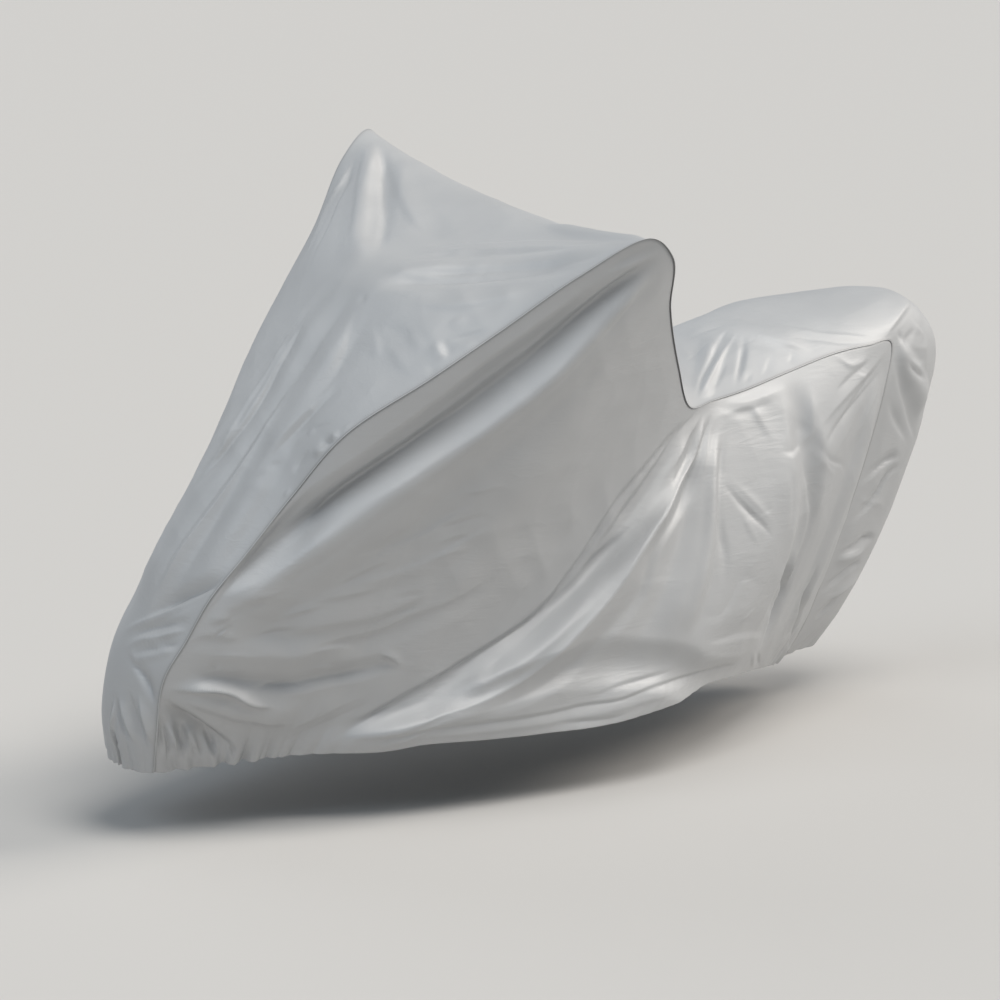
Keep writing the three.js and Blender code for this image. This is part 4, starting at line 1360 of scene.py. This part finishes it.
class Socket:
    """A shader value, with Python's operators for its maths."""

    def __init__(self, tree: bpy.types.NodeTree, output: bpy.types.NodeSocket) -> None:
        """Wraps an output socket.

        Args:
            tree: The tree that it is in.
            output: The socket.
        """
        self.tree = tree
        self.output = output

    def _math(self, operation: str, *values: "Socket | Number") -> "Socket":
        node = self.tree.nodes.new("ShaderNodeMath")
        node.operation = operation
        for slot, value in zip(node.inputs, values):
            connect(self.tree, value, slot)
        return Socket(self.tree, node.outputs[0])

    def __add__(self, other: "Socket | Number") -> "Socket":
        return self._math("ADD", self, other)

    def __radd__(self, other: Number) -> "Socket":
        return self._math("ADD", other, self)

    def __sub__(self, other: "Socket | Number") -> "Socket":
        return self._math("SUBTRACT", self, other)

    def __rsub__(self, other: Number) -> "Socket":
        return self._math("SUBTRACT", other, self)

    def __mul__(self, other: "Socket | Number") -> "Socket":
        return self._math("MULTIPLY", self, other)

    def __rmul__(self, other: Number) -> "Socket":
        return self._math("MULTIPLY", other, self)

    def __truediv__(self, other: "Socket | Number") -> "Socket":
        return self._math("DIVIDE", self, other)

    def __rtruediv__(self, other: Number) -> "Socket":
        return self._math("DIVIDE", other, self)

    def __neg__(self) -> "Socket":
        return self._math("MULTIPLY", self, -1.0)

    def __abs__(self) -> "Socket":
        return self._math("ABSOLUTE", self)

    def sine(self) -> "Socket":
        """The sine of the value, in radians."""
        return self._math("SINE", self)

    def exp(self) -> "Socket":
        """e to the power of the value."""
        return self._math("EXPONENT", self)

    def clamped(self, low: Number = 0.0, high: Number = 1.0) -> "Socket":
        """The value, kept between two limits."""
        return self._math("MINIMUM", self._math("MAXIMUM", self, low), high)


def connect(
    tree: bpy.types.NodeTree, value: "Socket | Number | Sequence[float]", slot: bpy.types.NodeSocket
) -> None:
    """Sets an input, or links it to a value worked out by nodes.

    Args:
        tree: The tree.
        value: What goes in.
        slot: The input.
    """
    if isinstance(value, Socket):
        tree.links.new(value.output, slot)
    else:
        slot.default_value = value


class Shader:
    """Makes the nodes of one material."""

    def __init__(self, name: str) -> None:
        """Starts an empty material.

        Args:
            name: Its name.
        """
        self.material = bpy.data.materials.new(name)
        self.material.use_nodes = True
        self.tree = self.material.node_tree
        self.tree.nodes.clear()

    def node(
        self,
        kind: str,
        settings: Optional[dict[str, object]] = None,
        inputs: Optional[dict[str, "Socket | Number | Sequence[float]"]] = None,
        output: Union[int, str] = 0,
    ) -> Socket:
        """Adds a node.

        Args:
            kind: The node's type.
            settings: Its properties by name.
            inputs: Its inputs by name.
            output: Which of its outputs to use.

        Returns:
            That output.
        """
        made = self.tree.nodes.new(kind)
        for name, value in (settings or {}).items():
            setattr(made, name, value)
        for name, value in (inputs or {}).items():
            connect(self.tree, value, made.inputs[name])
        return Socket(self.tree, made.outputs[output])

    def mix_colour(self, share: "Socket | Number", low: Sequence[float], high: Sequence[float]) -> Socket:
        """Mixes two colours.

        Args:
            share: 0 for the first and 1 for the second.
            low: The first colour.
            high: The second colour.

        Returns:
            The mixed colour.
        """
        made = self.tree.nodes.new("ShaderNodeMix")
        made.data_type = "RGBA"
        connect(self.tree, share, made.inputs[0])
        connect(self.tree, low, made.inputs[6])
        connect(self.tree, high, made.inputs[7])
        return Socket(self.tree, made.outputs[2])

    def finish(self, surface: Socket) -> bpy.types.Material:
        """Links the surface to the output.

        Args:
            surface: The shader that it wears.

        Returns:
            The material.
        """
        result = self.tree.nodes.new("ShaderNodeOutputMaterial")
        connect(self.tree, surface, result.inputs["Surface"])
        return self.material


Colour = tuple[float, float, float, float]


@dataclass(frozen=True)
class CoatedCloth:
    """Silver coated cloth with a soft sheen and rows of stitches beside its seams."""

    dark: Colour = (0.48, 0.485, 0.49, 1.0)
    light: Colour = (0.54, 0.545, 0.55, 1.0)
    # The colour of the painted shade along the seams.
    shadow: Colour = (0.16, 0.15, 0.14, 1.0)
    metallic: float = 0.3
    roughness: float = 0.58
    stitch_away: float = 6.0
    stitch_pitch: float = 0.0036

    def material(self) -> bpy.types.Material:
        """Makes the material.

        Returns:
            The material.
        """
        s = Shader("coated_cloth")
        flat = s.node("ShaderNodeUVMap", {"uv_map": "flat_cloth"})
        place = s.node("ShaderNodeTexCoord", output="Object")
        away = s.node("ShaderNodeAttribute", {"attribute_name": "seam_away"}, output="Fac")
        patch = s.node("ShaderNodeTexNoise", inputs={"Vector": place, "Scale": 5.0, "Detail": 3.0})
        grain = s.node("ShaderNodeTexNoise", inputs={"Vector": place, "Scale": 420.0, "Detail": 2.0})
        crinkle = s.node("ShaderNodeTexNoise", inputs={
            "Vector": place, "Scale": 26.0, "Detail": 4.0, "Roughness": 0.62, "Distortion": 0.8,
        })
        drawn = s.node("ShaderNodeMapping", inputs={
            "Vector": place, "Rotation": (0.0, 0.35, 0.0), "Scale": (8.0, 30.0, 44.0),
        })
        streak = s.node("ShaderNodeTexNoise", inputs={
            "Vector": drawn, "Scale": 1.0, "Detail": 3.0, "Roughness": 0.55, "Distortion": 0.4,
        })
        where = s.node("ShaderNodeTexNoise", inputs={"Vector": place, "Scale": 5.0, "Detail": 1.0})
        wrinkle = abs(streak - 0.5) * ((where - 0.42) * 6).clamped()
        split = self._split(s, flat)
        line = (-((away - self.stitch_away) * 0.8) * ((away - self.stitch_away) * 0.8)).exp()
        dashes = ((split * (2 * math.pi / self.stitch_pitch)).sine() * 1.4 + 0.6).clamped()
        stitches = line * dashes
        relief = grain * 0.1 + crinkle * 0.3 - wrinkle * 2.6 - line * 0.35 + stitches * 0.5
        bump = s.node("ShaderNodeBump", inputs={"Height": relief, "Distance": 0.0011, "Strength": 0.55})
        plain = s.mix_colour(patch, self.dark, self.light)
        # Painted shade: the colour goes darker towards the shadow colour within a few millimetres of each
        # seam.
        colour = s.mix_colour((-(away * 0.45)).exp() * 0.6, plain, self.shadow)
        surface = s.node("ShaderNodeBsdfPrincipled", inputs={
            "Base Color": colour,
            "Metallic": self.metallic,
            "Roughness": (patch - 0.5) * 0.12 + self.roughness,
            "Normal": bump,
        })
        return s.finish(surface)

    @staticmethod
    def _split(s: Shader, flat: Socket) -> Socket:
        return s.node("ShaderNodeSeparateXYZ", inputs={"Vector": flat}, output="X")


@dataclass(frozen=True)
class PlainFinish:
    """A plain matt finish."""

    name: str
    colour: Colour
    roughness: float = 0.9

    def material(self) -> bpy.types.Material:
        """Makes the material.

        Returns:
            The material.
        """
        s = Shader(self.name)
        return s.finish(s.node("ShaderNodeBsdfPrincipled", inputs={
            "Base Color": self.colour, "Roughness": self.roughness,
        }))


@dataclass
class Cover:
    """The whole cover: its three panels and the cloth that they share."""

    finish: CoatedCloth = CoatedCloth()
    soft_ripple: Ripple = Ripple(length=(220, 420), high=1.2, waves=9, seed=41)
    small_ripple: Ripple = Ripple(length=(60, 110), high=0.12, waves=14, seed=87)
    crumple: Crumple = Crumple(length=(60, 170), high=0.9, waves=12, seed=29)

    def panels(self) -> list[Panel]:
        """Describes the panels.

        Returns:
            The left panel, the strip and the right panel.
        """
        form = CoverForm()
        ripples = (self.soft_ripple, self.small_ripple, self.crumple)
        hem = Roll.hem()
        return [
            Panel(
                name="left_cloth", node="left_panel", surface=form.left, last=form.last,
                columns=470, rows=200,
                edges=(Edge(seam=False, roll=hem), Edge(seam=True, lift=-1.6, lift_depth=3.5)),
                folds=LEFT_FOLDS, traced=LEFT_CREASES,
                gathers=Gathers(pitch=30, high=6.0, depth=70, seed=5), hem_across=0,
                flat_size=(0.98, 2.3), flat_area=1.4, ripples=ripples, rests_on=("centre_cloth",),
            ),
            Panel(
                name="centre_cloth", node="centre_panel", surface=form.strip, last=form.last,
                columns=590, rows=146,
                edges=(
                    Edge(seam=True, roll=Roll.lap(), lift=0.6, lift_depth=9),
                    Edge(seam=True, roll=Roll.lap(), lift=0.6, lift_depth=9),
                ),
                folds=STRIP_FOLDS, traced=STRIP_CREASES,
                gathers=Gathers(pitch=30, high=5.5, depth=85, seed=6), hem_across=None,
                flat_size=(0.92, 3.95), flat_area=1.79, ripples=ripples, end_roll=hem,
            ),
            Panel(
                name="right_cloth", node="right_panel", surface=form.right, last=form.last,
                columns=330, rows=140,
                edges=(Edge(seam=True, lift=-1.6, lift_depth=3.5), Edge(seam=False, roll=hem)),
                folds=RIGHT_FOLDS, creases=RIGHT_CREASES,
                gathers=Gathers(pitch=30, high=6.0, depth=70, seed=7), hem_across=1,
                flat_size=(0.98, 2.3), flat_area=1.26, ripples=ripples, rests_on=("centre_cloth",),
            ),
        ]

    def build(self) -> list[bpy.types.Object]:
        """Builds the panels.

        Returns:
            Their sheets.
        """
        cloth = self.finish.material()
        sheets = []
        for panel in self.panels():
            sheets.append(panel.build(cloth))
            LOG.info("%s: %d faces", panel.name, len(sheets[-1].data.polygons))
        return sheets


@dataclass
class Studio:
    """The floor, the lights and the camera."""

    floor_z: float = -1.1024
    floor_half: float = 90.0
    sky: Colour = (0.8, 0.9, 1.0, 1.0)
    sky_strength: float = 0.26

    def build(self) -> None:
        """Builds the studio."""
        self.add_floor()
        self.add_camera()
        self.add_sky()
        self.add_sun("key_light", (0.0, -0.38, 0.92), 1.7, 32, (1.0, 0.97, 0.93))
        self.add_sun("cool_light", (-0.72, -0.1, 0.68), 0.55, 34, (0.78, 0.89, 1.0))
        self.add_sun("back_light", (0.1, 0.85, 0.5), 0.4, 50, (0.96, 0.98, 1.0))
        self.add_sun("warm_light", (0.78, -0.36, 0.52), 1.7, 24, (1.0, 0.94, 0.87))
        bpy.context.scene.view_settings.view_transform = "Standard"
        LOG.info("studio: floor, camera and lights")

    def add_floor(self) -> None:
        """Adds the plain pale floor."""
        bm = bmesh.new()
        bmesh.ops.create_grid(bm, x_segments=1, y_segments=1, size=self.floor_half)
        bmesh.ops.translate(bm, verts=bm.verts, vec=(0, 0, self.floor_z))
        mesh = bpy.data.meshes.new("floor")
        bm.to_mesh(mesh)
        bm.free()
        mesh.materials.append(PlainFinish("floor_paper", (0.56, 0.545, 0.525, 1.0)).material())
        floor = bpy.data.objects.new("floor", mesh)
        bpy.context.scene.collection.objects.link(floor)

    def add_camera(self) -> None:
        """Adds the camera at the photograph's angle."""
        data = bpy.data.cameras.new("camera")
        data.lens = VIEW.lens
        data.sensor_width = VIEW.sensor
        data.clip_end = 400
        camera = bpy.data.objects.new("camera", data)
        aim = Vector(VIEW.target) - Vector(VIEW.place)
        turn = aim.to_track_quat("-Z", "Y").to_matrix().to_4x4()
        camera.matrix_world = Matrix.Translation(VIEW.place) @ turn
        bpy.context.scene.collection.objects.link(camera)
        bpy.context.scene.camera = camera

    def add_sky(self) -> None:
        """Adds the even light from all round."""
        world = bpy.data.worlds.new("soft_sky")
        world.use_nodes = True
        background = world.node_tree.nodes["Background"]
        background.inputs["Color"].default_value = self.sky
        background.inputs["Strength"].default_value = self.sky_strength
        bpy.context.scene.world = world

    def add_sun(
        self, name: str, facing: Sequence[float], strength: float, spread: float, colour: Sequence[float]
    ) -> None:
        """Adds a broad light.

        Args:
            name: Its name.
            facing: The direction from the cover to the light.
            strength: Its strength.
            spread: Its breadth in the sky, in degrees.
            colour: Its colour.
        """
        data = bpy.data.lights.new(name, "SUN")
        data.energy = strength
        data.angle = math.radians(spread)
        data.color = colour
        lamp = bpy.data.objects.new(name, data)
        turn = Vector(facing).to_track_quat("Z", "Y").to_matrix().to_4x4()
        lamp.matrix_world = Matrix.Translation(Vector(facing) * 5) @ turn
        bpy.context.scene.collection.objects.link(lamp)


def main() -> None:
    """Builds the cover and its studio."""
    logging.basicConfig(level=logging.INFO, format="%(name)s: %(message)s")
    Cover().build()
    Studio().build()


if __name__ == "__main__":
    main()
